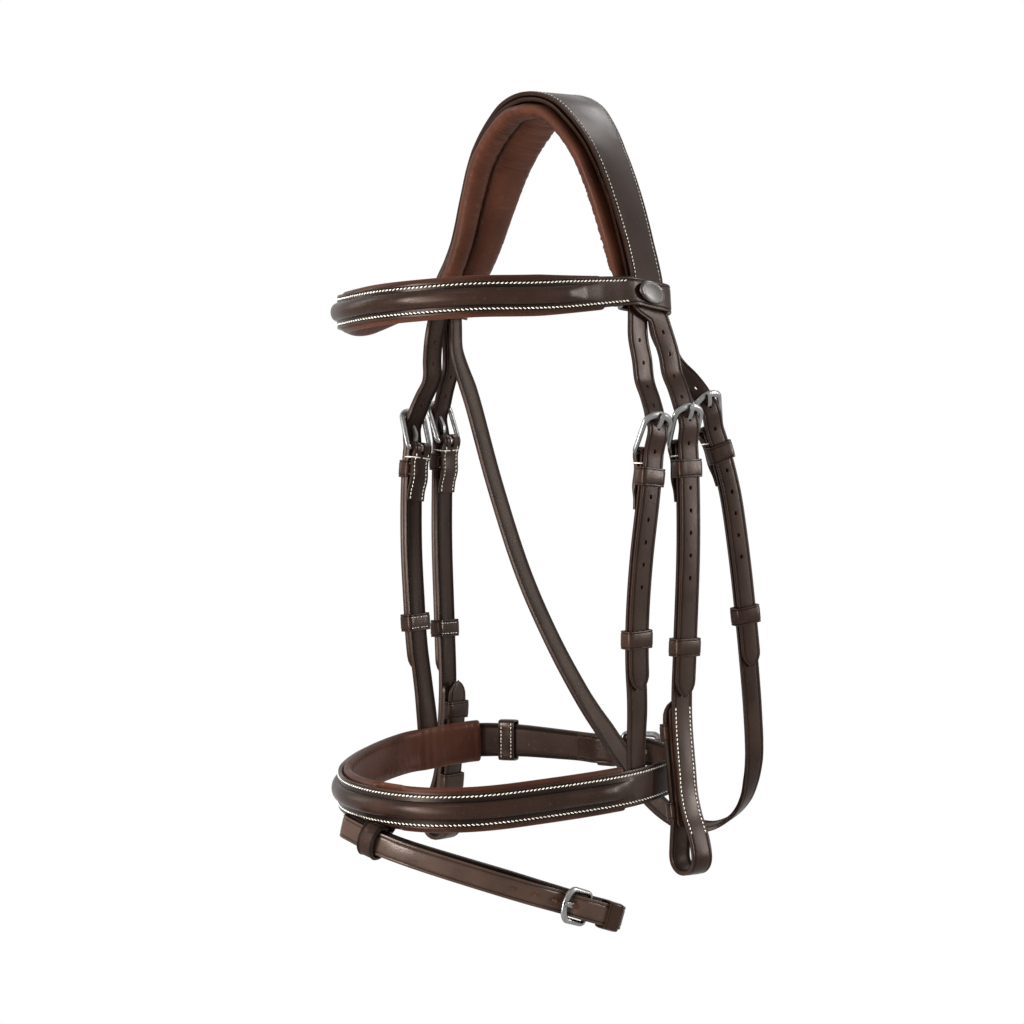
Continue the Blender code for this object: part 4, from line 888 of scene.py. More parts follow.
# Throatlatch: the narrow strap under the throat, from the off side of the crown to the near throat buckle.
# One long leather folded round its buckle bar, and the short punched billet that it buckles to.
throat_width = 0.0145
throat_sewn_width = 0.0112
throat_sewn_shift = 0.0085
throat_taper_end = 0.070
throat_billet_drop = 0.158
throat_bar_height = -0.207
throat_clear_height = -0.135
throat_keeper_drop = 0.124
throat_line = [
    (0.0984, -0.0076, -0.141), (0.1003, 0.0042, -0.155), (0.103, 0.015, -0.166),
    (0.1055, 0.0244, -0.178), (0.1085, 0.0312, -0.192), (0.1108, 0.037, -0.207),
    (0.1124, 0.0422, -0.222), (0.114, 0.0504, -0.25), (0.1148, 0.058, -0.29), (0.1152, 0.0636, -0.327),
    (0.1152, 0.0684, -0.36), (0.115, 0.0728, -0.397), (0.113, 0.0756, -0.428), (0.107, 0.0724, -0.454),
    (0.096, 0.0632, -0.467), (0.08, 0.0568, -0.47), (0.062, 0.0524, -0.4645), (0.046, 0.0452, -0.45),
    (0.033, 0.036, -0.428), (0.019, 0.0292, -0.406), (0.005, 0.0256, -0.388), (-0.017, 0.018, -0.35),
    (-0.04, 0.012, -0.304), (-0.064, 0.009, -0.246), (-0.085, 0.0072, -0.188),
    (-0.0935, 0.0008, -0.155),
]
throat_faces = [(1, -0.15, 0), (1, -0.18, 0)] + [(1, -0.2, 0)] * 8 + [
    (1, -0.2, -0.1), (1, -0.15, -0.25), (0.9, -0.1, -0.6),
    (0.6, 0.1, -1), (0.3, 0.3, -1), (0.1, 0.5, -1), (-0.2, 0.6, -1), (-0.6, 0.6, -0.8),
    (-0.8, 0.5, -0.5), (-0.9, 0.3, -0.35), (-0.95, 0.1, -0.25), (-1, 0, -0.2), (-1, 0, -0.2),
    (-1, 0, -0.2), (-1, 0, -0.1), (-1, 0, 0),
]
off_crown = []
for height in (-0.134, -0.128, -0.115, -0.100, -0.084):
    point, _, across, outward = cheeks[-1].at(cheeks[-1].at_height(height))
    off_crown.append((point - across * throat_sewn_shift - outward * (strap_pitch + crown_ease), outward))
throat = side_line(1, throat_line, throat_faces, off_crown)
throat_bar = throat.at_height(throat_bar_height)
throat_clear = throat.at_height(throat_clear_height)
billet = billet_path(throat, throat_bar, buckle_length, throat_billet_drop, throat_width, -strap_pitch)
widening = throat_width - throat_sewn_width
path = []
for distance in throat.grid(throat.at_height(throat_start_height), billet[0][0])[:-1]:
    share = share_between(distance, throat_clear, billet[0][0])
    deep = strap_pitch + crown_ease * (1 - share)
    path.append((distance, -deep, throat_sewn_shift * (1 - share), throat_sewn_width + widening * share))
throat_rows = fine(laid(throat, path + billet))
throat_billet = lay_strap("throat_billet_leather", throat_rows, strap_finishes)
pierce(throat_billet, hole_spots(throat, throat_bar, buckle_length, throat_billet_drop, throat_rows))
dress(throat_billet, "bridle", "bridle_leather", "near_throat_billet")

fold_length = 0.0360
keeper_thickness = 0.0013
slot_play = 0.0006
slot_half_width = 0.0013


def fold_path(bar, width, back=fold_length, walled=True):
    """A strap end folded round its buckle bar, from the sewn end inside to the strap outside."""
    path = [(bar + back, -skived_thickness - lay_gap if walled else -strap_pitch, 0.0, width)]
    if walled:
        closing = fixed_keeper_drop + keeper_length / 2 + lay_gap
        inside = strap_pitch + lay_gap + keeper_thickness
        path.append((bar + closing + 0.0080, -inside * 0.56, 0.0, width))
        path.append((bar + closing + 0.0020, -inside * 0.97, 0.0, width))
        path.append((bar + fixed_keeper_drop - keeper_length / 2 - lay_gap, -inside, 0.0, width))
    else:
        path.append((bar + 3 * fold_reach, -strap_pitch, 0.0, width))
        path.append((bar + fold_reach / 2, -1.9 * fold_reach, 0.0, width))
    return path + arc_path(bar, fold_reach, width)


def slot_fold(strap, line, bar):
    """Cuts the slot in which the prong's eye turns on the bar."""
    half = slot_half_width + slot_play
    reach = tongue_lift + tongue_thickness / 2 + slot_play
    low = Vector((-half, -reach, -fold_reach - strap_thickness))
    high = Vector((half, fold_reach + strap_thickness, fold_reach + strap_pitch / 2))
    bpy.ops.mesh.primitive_cube_add(size=1.0)
    tool = bpy.context.object
    tool.data.transform(Matrix.Diagonal((*(high - low), 1.0)))
    tool.data.transform(line_frame(line, bar, -fold_reach) @ Matrix.Translation((low + high) / 2))
    cut_out(strap, tool, "prong_slot")


def sew_fold(name, rows, last=0.0340):
    """Two rows of sewing up the folded end inside, and a thick stitch across the strap under its bar."""
    whole = travel(rows)[-1]
    places = stitch_places(rows, 0.0025, 0.0022 / whole, last / whole, slant=0.1, pitch=0.0027)
    turned = Matrix.Rotation(math.pi / 2, 4, "Z")
    corners = []
    for distance in (0.0300, fold_length + math.pi * fold_reach + 0.0065):
        sewn = (distance / whole, (distance + 0.0005) / whole)
        for inset in (0.0012, 0.0035, 0.0058):
            spots = stitch_places(rows, inset, *sewn, slant=0.0)
            places += [place @ turned @ Matrix.Scale(1.5, 4) for place in spots]
        corners.append(stitch_places(rows, -0.0002, *sewn, slant=0.0))
    for inner, outer, other in zip(*corners, corners[1][::-1]):
        outer = min((outer, other), key=lambda place: (place.translation - inner.translation).length)
        run = outer.translation - inner.translation
        lie = run.normalized()
        aside = inner.col[1].to_3d().cross(lie).normalized() * 1.5
        wrap = Matrix((aside, run * 500.0, aside.cross(lie))).transposed().to_4x4()
        places.append(Matrix.Translation((inner.translation + outer.translation) / 2) @ wrap)
    sew(name, places, "bridle")


path = fold_path(throat_bar, throat_width)
taper_end = throat.length - throat_taper_end
for distance in throat.grid(throat_bar, throat.length):
    share = share_between(distance, taper_end - 2 * throat_width, taper_end)
    path.append((distance, 0.0, 0.0, throat_width - widening * share))
throat_rows = fine(laid(throat, path))
# The throatlatch's flesh side has a rougher suede nap; its lighter, greyer colour is partly the suede's own
# and partly painted light where its face catches the lamps.
suede_painted_lit_side = leather_finish("suede_painted_lit_side", (0.050, 0.0360, 0.0290), 0.50, 0.32, (0.100, 0.070, 0.055), 0.5)
throat_finishes = (grain_side, suede_painted_lit_side, burnished_edge, punched_edge)
throatlatch = lay_strap("throatlatch_leather", throat_rows, throat_finishes, skived=skived_length)
slot_fold(throatlatch, throat, throat_bar)
sew_fold("throat_fold_stitching", throat_rows)
dress(throatlatch, "bridle", "bridle_leather", "throatlatch")

# Buckles: horseshoe frames of polished steel wire on a straight bar, each with a flattened prong.
# The prong's eye turns on the bar and its tip rests over the round end.
bar_corner = 0.0030
bar_gain = 0.12
arc_gain = 0.42
arc_flat = 0.29


def steel_finish(name, dark, pale, smooth, rough):
    """Polished steel with faint cloudy wipe marks in its tone and its gloss."""
    material, tree, shader = new_material(name)
    coords = add_node(tree, "TexCoord")
    marks = add_node(tree, "TexNoise", {"Scale": 90.0, "Detail": 6.0})
    tone = add_ramp(tree, (0.3, dark), (0.7, pale))
    gloss = add_node(tree, "MapRange", {"To Min": smooth, "To Max": rough})
    link_nodes(
        tree, (coords, "Object", marks, "Vector"), (marks, "Fac", tone, "Fac"),
        (marks, "Fac", gloss, "Value"), (tone, "Color", shader, "Base Color"),
        (gloss, "Result", shader, "Roughness"),
    )
    shader.inputs["Metallic"].default_value = 1.0
    return material


bright_steel = steel_finish("bright_steel", (0.17, 0.165, 0.16), (0.27, 0.265, 0.257), 0.24, 0.34)


def bend_wire(name, matrix, width, length):
    """A circle drawn out to the horseshoe's outline, given the wire's thickness."""
    half = width / 2 + 0.0011 + buckle_wire / 2
    rise = half * 0.55
    corner = bar_corner
    arc = (length - rise * 1.4, length - rise * 0.2)
    outline = []
    for side, start in ((-1, 1.0), (1, 1.5)):
        for step in range(7):
            turn = math.pi * (start + step / 12)
            across, along = corner * math.cos(turn), corner * math.sin(turn)
            outline.append((side * (half - corner) + across, corner + along))
    for step in range(23):
        turn = math.pi * step / 22
        outline.append((half * math.cos(turn), length - rise + rise * math.sin(turn)))
    bpy.ops.mesh.primitive_circle_add(vertices=len(outline), radius=1.0)
    wire = bpy.context.object
    wire.name = wire.data.name = name
    for vertex, (x, y) in zip(wire.data.vertices, outline):
        vertex.co = (x, y, 0.0)
    bpy.ops.object.convert(target="CURVE")
    wire.data.bevel_depth = buckle_wire / 2
    wire.data.bevel_resolution = 4
    for knot in wire.data.splines[0].points:
        knot.radius = 1.0 + bar_gain * share_between(knot.co.y, 0.0, corner)
        knot.radius += arc_gain * share_between(knot.co.y, *arc)
    bpy.ops.object.convert(target="MESH")
    wire = bpy.context.object
    for vertex in wire.data.vertices:
        vertex.co.z /= 1.0 + bar_gain * share_between(vertex.co.y, 0.0, corner)
        vertex.co.z *= 1.0 - arc_flat * share_between(vertex.co.y, *arc)
    wire.data.transform(matrix @ buckle_lean(length))
    mend_mesh(0.00001)
    wire.data.materials.clear()
    wire.data.materials.append(bright_steel)
    wire.data.shade_smooth()
    return wire


def forge_prong(name, matrix, length):
    """A flat bar curled into an eye at the buckle's bar, then run out over its round end."""
    tilted = matrix @ buckle_lean(length)
    path = []
    for step in range(13):
        turn = math.radians(-250 + 300 * step / 12)
        path.append((tongue_lift * math.cos(turn), tongue_lift * math.sin(turn)))
    bends = ((0.40, 0.10), (0.61, 0.40), (0.82, 0.86), (1.00, 1.00))
    if length < buckle_length:
        bends = ((0.40, 0.34), (0.61, 0.50), (0.82, 0.86), (1.00, 1.00))
    for share, rise in bends:
        path.append((share * length, rise * tongue_lift))
    path.append((length + 0.0030, tongue_lift - tongue_thickness / 4))
    widths = [0.0026] * (len(path) - 2) + [0.0023, 0.0015]
    side = (tilted.to_3x3() @ Vector((1, 0, 0))).normalized()
    places = [[tilted @ Vector((0, up, out)), side, width, 0.0] for (up, out), width in zip(path, widths)]
    steel = (bright_steel,) * 4
    return lay_strap(name, fine(places, 0.0012), steel, tongue_thickness, crease=0.0004, round_off=0.0006)


def fit_buckle(prefix, line, bar, width, length):
    matrix = line_frame(line, bar, -fold_reach)
    frame_wire = bend_wire(prefix + "_buckle_wire", matrix, width, length)
    dress(frame_wire, prefix + "_buckle_frame_body", "buckle_steel", prefix + "_buckle_frame")
    prong = forge_prong(prefix + "_buckle_prong", matrix, length)
    dress(prong, prefix + "_buckle_tongue_body", "buckle_steel", prefix + "_buckle_tongue")


# Keepers: short leather bands closed round strap and billet, glossier than the straps.
# Each is a creased strip bent round the stack; the fixed ones sit under the buckle, the loose ones slide.
keeper_gloss = leather_finish("keeper_gloss", (0.0185, 0.0086, 0.0055), 0.25, 0.04, (0.040, 0.022, 0.015))
keeper_finishes = (keeper_gloss, flesh_side, burnished_edge, punched_edge)
keeper_clearance = 0.0003
slide_clearance = 0.0010


def wrap_keeper(name, body, matrix, width, inner, outer, clearance, length=keeper_length):
    """Bends a keeper round a strap and what lies on it, and sews the ones that are not on a bit end."""
    grow = keeper_thickness / 2
    half = width / 2 + clearance
    low = inner - clearance
    high = outer + clearance
    corner = min(clearance, (high - low) / 3)
    side = matrix.to_3x3() @ Vector((0, 1, 0))
    outline = [(0.0, low - grow), (-half * 0.5, low - grow)]
    for x, z, start in ((-half, low, 1.5), (-half, high, 1.0), (half, high, 0.5), (half, low, 0.0)):
        middle = (x - math.copysign(corner, x), z - corner if z == high else z + corner)
        reach = corner + grow
        for step in range(5):
            turn = math.pi * (start - step / 8)
            outline.append((middle[0] + reach * math.cos(turn), middle[1] + reach * math.sin(turn)))
        if (x, z) == (-half, high):
            domed = ((-0.5, 1.25), (0.0, 1.4), (0.5, 1.25))
            outline += [(part * half, high + grow * swell) for part, swell in domed]
    outline += [(half * 0.5, low - grow), (0.0, low - grow)]
    rows = fine([[matrix @ Vector((x, 0, z)), side, length, 0.0] for x, z in outline], 0.0015)
    band = lay_strap(
        name + "_band", rows, keeper_finishes, keeper_thickness, closed=True, round_off=0.0004, crease=0.0013
    )
    dress(band, body, "bridle_leather", name)
    if length == keeper_length and "bit" not in name:
        whole = travel(rows)[-1]
        start = 0.0008 / whole
        edge = (half - 0.0015) / whole
        places = []
        for first, last in ((start, edge), (1.0 - edge, 1.0 - start)):
            places += stitch_places(rows, 0.0023, first, last, (-1, 1), 0.0, 0.0025, keeper_thickness)
        sew(name + "_band_stitching", places, body, 0.0018, 0.00028)


def fit_keepers(prefix, line, bar, width, low_width, drop):
    high = strap_pitch + strap_thickness / 2
    low = -strap_thickness / 2
    fixed = line_frame(line, bar + fixed_keeper_drop)
    wrap_keeper(prefix + "_fixed_keeper", "bridle", fixed, width, low, high, keeper_clearance)
    loose = prefix + "_loose_keeper"
    wrap_keeper(loose, loose + "_body", line_frame(line, bar + drop), low_width, low, high, slide_clearance)


fit_buckle("throat", throat, throat_bar, throat_width, buckle_length)
fit_keepers("throat", throat, throat_bar, throat_width, throat_width, throat_keeper_drop)

# Cheekpieces: one on each side, folded round its buckle bar above and into an open bit loop below.
# The bit end is lined by a sewn stud strap, and the returned end hooks over the stud inside.
bit_centre_height = -0.4815
bit_radius = 0.0107
bit_shift = 0.0010
bit_flare = 0.0415
bit_return = 0.0995
bit_keeper_clearance = 0.0008
cheek_keeper_drop = 0.130
stud_strap_top = 0.0965
stud_strap_foot = 0.0195
stud_above = 0.0560
stud_radius = 0.0029
stud_neck = 0.79
stud_head_rise = 0.0016
bit_back = -(strap_pitch * 2 + lay_gap + keeper_thickness + bit_keeper_clearance)
for side, name in ((-1, "off"), (1, "near")):
    line = cheeks[side]
    bar = line.at_height(cheek_bar_height)
    centre = line.at_height(bit_centre_height)
    outer = bit_radius - bit_shift
    inner = -bit_radius - bit_shift
    path = fold_path(bar, strap_width)
    path += line.run(bar, centre - bit_flare, 0.0, strap_width)[:-1]
    for part, rise in ((1.00, 0.00), (0.64, 0.24), (0.37, 0.68), (0.12, 0.95)):
        path.append((centre - part * bit_flare, rise * outer, 0.0, strap_width))
    for step in range(10):
        turn = math.pi * step / 9
        offset = bit_radius * math.cos(turn) - bit_shift
        path.append((centre + bit_radius * math.sin(turn), offset, 0.0, strap_width))
    for part, rise in ((0.10, 0.92), (0.30, 0.62), (0.52, 0.20), (0.80, 0.00)):
        path.append((centre - part * bit_flare, bit_back + (inner - bit_back) * rise, 0.0, strap_width))
    top = centre - bit_return
    reach = round_end[0][0] * strap_width / 2
    path += line.run(path[-1][0], top + reach, bit_back, strap_width)[1:-1]
    path += end_path(top, bit_back, strap_width, -1)
    rows = fine(laid(line, path))
    cheekpiece = lay_strap(name + "_cheek_leather", rows, strap_finishes, skived=skived_length)
    sew_fold(name + "_cheek_fold_stitching", rows)
    slot_fold(cheekpiece, line, bar)
    point, _, across, outward = line.at(centre - stud_above)
    eye = (point + outward * bit_back, outward, across, 0.0024, 0.0024, strap_pitch / 2)
    pierce(cheekpiece, [eye])
    dress(cheekpiece, "bridle", "bridle_leather", name + "_cheekpiece")

    sewn = [index for index, row in enumerate(rows) if -0.468 < row[0].z < -0.386 and row[3].x * side > 0.3]
    first, last = travel_share(rows, sewn[0]), travel_share(rows, sewn[-1])
    sew(name + "_cheek_stitching", stitch_places(rows, 0.0023, first, last, slant=0.1), "bridle")

    high, low = centre - stud_strap_top, centre - stud_strap_foot
    square_end = ((0.30, 1.00), (0.00, 0.86))
    path = end_path(high, -strap_pitch, strap_width, -1, square_end)[::-1]
    path += line.run(high, low, -strap_pitch, strap_width)[1:-1]
    path += end_path(low, -strap_pitch, strap_width, 1, square_end)
    stud_strap = lay_strap(name + "_stud_leather", fine(laid(line, path)), strap_finishes)
    seat = (point - outward * strap_pitch, outward, across, 0.0018, 0.0018, strap_pitch / 2)
    pierce(stud_strap, [seat])
    dress(stud_strap, "bridle", "bridle_leather", name + "_stud_strap")

    fit_buckle(name + "_cheek", line, bar, strap_width, buckle_length)
    fit_keepers(name + "_cheek", line, bar, strap_width, strap_width, cheek_keeper_drop)
    for label, above in (("upper", 0.0805), ("lower", 0.0300)):
        keeper = name + "_" + label + "_bit_keeper"
        faces = (bit_back - strap_thickness / 2, bit_back + strap_thickness / 2)
        place = line_frame(line, centre - above)
        wrap_keeper(keeper, "bridle", place, strap_width, *faces, bit_keeper_clearance)

    start = strap_pitch - strap_thickness / 2 + lay_gap
    stud_length = -bit_back + strap_thickness / 2 + bit_keeper_clearance + stud_head_rise - start
    bpy.ops.mesh.primitive_cylinder_add(vertices=28, radius=1.0, depth=1.0)
    stud = bpy.context.object
    stud.name = stud.data.name = name + "_stud"
    bpy.ops.object.mode_set(mode="EDIT")
    bpy.ops.mesh.subdivide(number_cuts=9)
    bpy.ops.object.mode_set(mode="OBJECT")
    for vertex in stud.data.vertices:
        share = vertex.co.z + 0.5
        size = 0.5 if share < stud_neck else 1.0 - 0.6 * ((share - stud_neck) / (1.0 - stud_neck)) ** 2
        x, y = vertex.co.x * size * stud_radius, vertex.co.y * size * stud_radius
        vertex.co = point - outward * (start + stud_length * share) + across * x + across.cross(outward) * y
    stud.data.materials.append(bright_steel)
    mend_mesh()
    bpy.ops.object.shade_smooth_by_angle(angle=math.radians(40))
    dress(stud, "bridle", "buckle_steel", name + "_hook_stud")

# Nose hangers: the straps that carry the noseband, folded round the nose buckles above.
# Their lower ends are sewn behind the noseband on each side.
nose_keeper_drop = 0.119
for side, name in ((-1, "off"), (1, "near")):
    line = noses[side]
    bar = line.at_height(nose_bar_height)
    path = fold_path(bar, strap_width)
    path += line.run(bar, line.length, 0.0, strap_width)
    rows = fine(laid(line, path))
    hanger = lay_strap(name + "_hanger_leather", rows, strap_finishes, skived=skived_length)
    sew_fold(name + "_nose_fold_stitching", rows)
    slot_fold(hanger, line, bar)
    dress(hanger, "bridle", "bridle_leather", name + "_nose_hanger")
    fit_buckle(name + "_nose", line, bar, strap_width, buckle_length)
    fit_keepers(name + "_nose", line, bar, strap_width, strap_width, nose_keeper_drop)

# Noseband: a broad strap round the nose with a raised roll in front, tapering to its rear buckle.
# The roll is leather drawn over a cord core between two rows of white saddle stitching.
noseband_rear_width = 0.0190
noseband_billet_drop = 0.106
noseband_keeper_drop = 0.094
roll_width = 0.0115
roll_taper = 0.022


def noseband_breadth(distance, length):
    share = share_between(min(distance, length - distance), 0.0145, 0.110)
    return noseband_rear_width + (noseband_width - noseband_rear_width) * share


def rolled_rows(line, path, start, end):
    """The rows of a band whose face swells over a cord core between two distances."""
    places = laid(line, path)
    for place, (distance, offset, *_) in zip(places, path):
        share = min(
            share_between(distance, start, start + roll_taper), share_between(end - distance, 0.0, roll_taper)
        )
        place[3] = math.sin(math.pi / 2 * share) if offset == 0.0 else 0.0
    return fine(places)


def sew_roll(name, rows, body, beyond):
    """A bold row of sewing on each side of a roll, and a little beyond its ends."""
    raised = [index for index, row in enumerate(rows) if row[5] > 0.02]
    first, last = travel_share(rows, raised[0]) - beyond, travel_share(rows, raised[-1]) + beyond
    sew(name, stitch_places(rows, 0.0028, first, last, slant=0.42), body, 0.0024, 0.00046)


roll_start = hangers[-1] + strap_width * 0.8
roll_end = hangers[1] - strap_width * 0.8
billet = billet_path(ring, ring.length, buckle_length, noseband_billet_drop, noseband_rear_width)
path = fold_path(0.0, noseband_rear_width)
for distance in ring.grid(0.0, billet[0][0])[:-1]:
    path.append((distance, 0.0, 0.0, noseband_breadth(distance, ring.length)))
lifted = ring.length + noseband_keeper_drop + keeper_length / 2
path += [(spot[0], spot[1] + (crown_ease if spot[0] > lifted else 0.0), *spot[2:]) for spot in billet]
noseband_rows = rolled_rows(ring, path, roll_start, roll_end)
noseband = lay_strap("noseband_leather", noseband_rows, strap_finishes, roll=roll_width, skived=skived_length)
slot_fold(noseband, ring, 0.0)
billet_rows = [row for row in noseband_rows[len(noseband_rows) // 2:] if row[0].y > 0]
pierce(noseband, hole_spots(ring, ring.length, buckle_length, noseband_billet_drop, billet_rows, 2, 0.0))
dress(noseband, "bridle", "bridle_leather", "noseband")
sew_roll("noseband_stitching", noseband_rows, "bridle", 0.045)
fit_buckle("noseband", ring, 0.0, noseband_rear_width, buckle_length)
low_width = noseband_breadth(noseband_keeper_drop + keeper_length, ring.length)
fit_keepers("noseband", ring, 0.0, noseband_rear_width + edge_inset, low_width, noseband_keeper_drop)

# Noseband pad: the same lining leather over a flat foam strip, a little wider than the band.
# Its outer face is hollowed where the hangers and the flash tab lie behind the band.
band_pad_section = (
    (-0.50, 0.30), (-0.505, 0.50), (-0.48, 0.76), (-0.42, 0.95), (-0.34, 1.00), (-0.24, 0.90), (-0.10, 0.78),
    (0.10, 0.78), (0.24, 0.90), (0.34, 1.00), (0.42, 0.95), (0.48, 0.76), (0.505, 0.50), (0.50, 0.30),
    (0.45, 0.00), (0.15, 0.00), (-0.15, 0.00), (-0.45, 0.00),
)
flash_line = [
    (-0.011, -0.1786, -0.4555), (0.017, -0.177, -0.4635), (0.042, -0.167, -0.4715),
    (0.072, -0.142, -0.4835), (0.094, -0.112, -0.4955), (0.106, -0.08, -0.5065),
    (0.114, -0.048, -0.517),
]
pad_width = 0.0285
pad_steps = 120
band_pad_depth = 0.0062
hollow_edge = 0.003
start = ring.nearest((-0.1000, 0.0300, -0.4285))
end = hangers[1] - strap_width / 2 - pad_end_length / 3
hollows = (
    (hangers[-1], strap_width / 2 + 0.0008, strap_pitch + crown_ease),
    (ring.nearest(flash_line[1]), 0.0095, 0.0044),
)
places = []
for step in range(pad_steps + 1):
    distance = start + (end - start) * step / pad_steps
    point, _, across, outward = ring.at(distance)
    hollow = 0.0
    for middle, reach, deep in hollows:
        hollow = max(hollow, deep * (1.0 - share_between(abs(distance - middle), reach, reach + hollow_edge)))
    outer = -(strap_thickness / 2 + 2 * lay_gap) - hollow
    depth = max(band_pad_depth * pad_swell(distance, start, end) - hollow, 0.0018)
    places.append((point + outward * outer, across, outward, pad_width, depth))
noseband_pad = stuff_pad("noseband_lining", places, band_pad_section, 23, 0.00004)
dress(noseband_pad, "bridle", "lining_leather", "noseband_pad")

# Browband: a raised band across the forehead, folded at both ends into loops round the crown.
# It slides a little on the crown with its padded lining and its two plain oval buttons.
browband_width = 0.0215
loop_return = 0.0330
loop_neck = 0.0160
browband_line = [
    (-0.086, -0.092, -0.131), (-0.064, -0.131, -0.13), (-0.033, -0.153, -0.129), (0, -0.159, -0.126),
    (0.033, -0.153, -0.1235), (0.064, -0.131, -0.121), (0.086, -0.092, -0.12),
]
outer = strap_thickness + loop_clearance
inner = strap_pitch + strap_thickness + loop_clearance + crown_ease
radius = (outer + inner) / 2
ends = {}
for side in (-1, 1):
    line = cheeks[side]
    point, along, across, outward = line.at(line.at_height(browband_height))
    rear = (crown_width_side + loop_clearance - radius) / 2
    ends[side] = [
        (point + outward * outer + across * side * (rear - part * (rear + loop_neck)), outward)
        for part in (0.0, 0.5, 1.0)
    ]
spots = [spot for spot, _ in ends[-1]] + [Vector(spot) for spot in browband_line]
spots += [spot for spot, _ in ends[1][::-1]]
faces = []
for index in range(len(spots)):
    run = spots[min(index + 1, len(spots) - 1)] - spots[max(index - 1, 0)]
    faces.append(run.cross(upright).normalized())
faces[:3] = [face for _, face in ends[-1]]
faces[-3:] = [face for _, face in ends[1][::-1]]
band = Line(spots, faces)
neck = crown_width_side + 3 * loop_clearance - radius / 2
loop_path = [
    (loop_return + neck * 0.35, -strap_pitch), (neck + loop_neck * 0.55, -strap_pitch),
    (neck, -2 * radius + strap_pitch * 0.1), (neck * 0.5, -2 * radius), (0.0, -2 * radius),
]
for step in range(1, 8):
    turn = math.pi * (step / 8 - 0.5)
    loop_path.append((-radius * math.cos(turn), radius * (math.sin(turn) - 1)))
path = [(distance, offset, 0.0, loop_width) for distance, offset in loop_path]
for distance in band.grid(0.0, band.length):
    share = share_between(min(distance, band.length - distance), neck, neck + 3 * loop_neck)
    path.append((distance, 0.0, 0.0, loop_width + (browband_width - loop_width) * share))
path += [(band.length - distance, offset, 0.0, loop_width) for distance, offset in loop_path[::-1]]
roll_inset = neck + loop_return
browband_rows = rolled_rows(band, path, roll_inset, band.length - neck - loop_return)
browband = lay_strap("browband_leather", browband_rows, strap_finishes, roll=roll_width)
dress(browband, "browband", "bridle_leather", "browband")
sew_roll("browband_stitching", browband_rows, "browband", 0.037)

pad_width = 0.0262
pad_steps = 80
pad_start = loop_return + neck * 0.35 + 3 * loop_clearance
places = []
for step in range(pad_steps + 1):
    distance = pad_start + (band.length - 2 * pad_start) * step / pad_steps
    point, _, across, outward = band.at(distance)
    share = share_between(min(distance, band.length - distance), pad_start, pad_start + 3 * loop_neck)
    width = loop_width + (pad_width - loop_width) * (0.4 + share * 0.6)
    depth = band_pad_depth * pad_swell(distance, pad_start, band.length - pad_start)
    places.append((point - outward * (strap_thickness / 2 + lay_gap), across, outward, width, depth))
browband_pad = stuff_pad("browband_lining", places, band_pad_section, 37, 0.00004)
dress(browband_pad, "browband", "lining_leather", "browband_pad")

button_steel = steel_finish("button_steel", (0.055, 0.051, 0.048), (0.080, 0.075, 0.070), 0.30, 0.36)
button_length = 0.0240
button_height = 0.0145
button_thickness = 0.0026
rim_place = 0.86
for side, name in ((-1, "off"), (1, "near")):
    distance = neck * 0.5 if side < 0 else band.length - neck * 0.5
    point, along, across, outward = band.at(distance)
    reach = button_length / 2
    high = max((band.at(distance + part * reach)[0] - point).dot(outward) for part in (-1.0, -0.5, 0.5, 1.0))
    base = point + outward * (strap_thickness / 2 + lay_gap + max(high, 0.0))
    bpy.ops.mesh.primitive_cylinder_add(vertices=72, radius=1.0, depth=2.0, end_fill_type="NGON")
    button = bpy.context.object
    button.name = button.data.name = name + "_oval_button"
    bpy.ops.object.mode_set(mode="EDIT")
    bpy.ops.mesh.select_all(action="DESELECT")
    bpy.ops.object.mode_set(mode="OBJECT")
    for face in button.data.polygons:
        face.select = face.normal.z > 0.9
    bpy.ops.object.mode_set(mode="EDIT")
    for _ in range(7):
        bpy.ops.mesh.inset(thickness=0.12)
    bpy.ops.object.mode_set(mode="OBJECT")
    for vertex in button.data.vertices:
        size = min(1.0, math.hypot(vertex.co.x, vertex.co.y))
        rim = 0.16 * max(0.0, 1.0 - abs(size - rim_place) / 0.08)
        rise = 0.0 if vertex.co.z < 0 else 0.46 + 0.42 * math.sqrt(max(0.0, 1.0 - size * size)) + rim
        offset = along * (vertex.co.x * reach) + across * (vertex.co.y * button_height / 2)
        vertex.co = base + offset + outward * (rise * button_thickness)
    mend_mesh()
    rounding = button.modifiers.new("rounded_rim", "BEVEL")
    rounding.width = 0.0004
    rounding.segments = 3
    rounding.angle_limit = math.radians(50)
    bpy.ops.object.modifier_apply(modifier="rounded_rim")
    button.data.materials.append(button_steel)
    bpy.ops.object.shade_smooth_by_angle(angle=math.radians(40))
    dress(button, "browband", "button_steel", name + "_button")

# Flash: a narrow strap hung in a leather loop on the nose, buckled to itself in a long drooping loop.
# Its buckle is a smaller one of the same wire, with one keeper below it.
flash_width = 0.0145
flash_buckle_length = 0.0200
flash_billet_drop = 0.0225
flash_bar_back = 0.0270
flash_turn_back = 0.0050
flash_keeper_drop = 0.0156
flash_keeper_length = 0.0105
flash_drift = 0.0020
flash_rise = (
    (1.75, -0.35), (1.40, -0.80), (1.15, -1.03), (0.98, -1.05), (0.84, -1.00), (0.72, -0.62),
    (0.61, -0.12), (0.51, 0.42), (0.41, 0.84), (0.31, 1.00), (0.12, 1.00), (0.00, 1.00),
)
flash_faces = [
    (0.15, -1, 0), (0.22, -1, 0), (0.4, -1, 0), (0.65, -0.8, 0), (0.85, -0.55, 0), (0.95, -0.4, 0),
    (1, -0.3, 0),
]
flash = Line(flash_line, flash_faces)
bar = flash.length - flash_bar_back
right = flash.length - flash_turn_back
left = flash_turn_back
deep = 2 * fold_reach + strap_pitch
shallow = 0.0062
path = fold_path(bar, flash_width, 0.0165, False)
path += flash.run(bar, right, 0.0, flash_width)
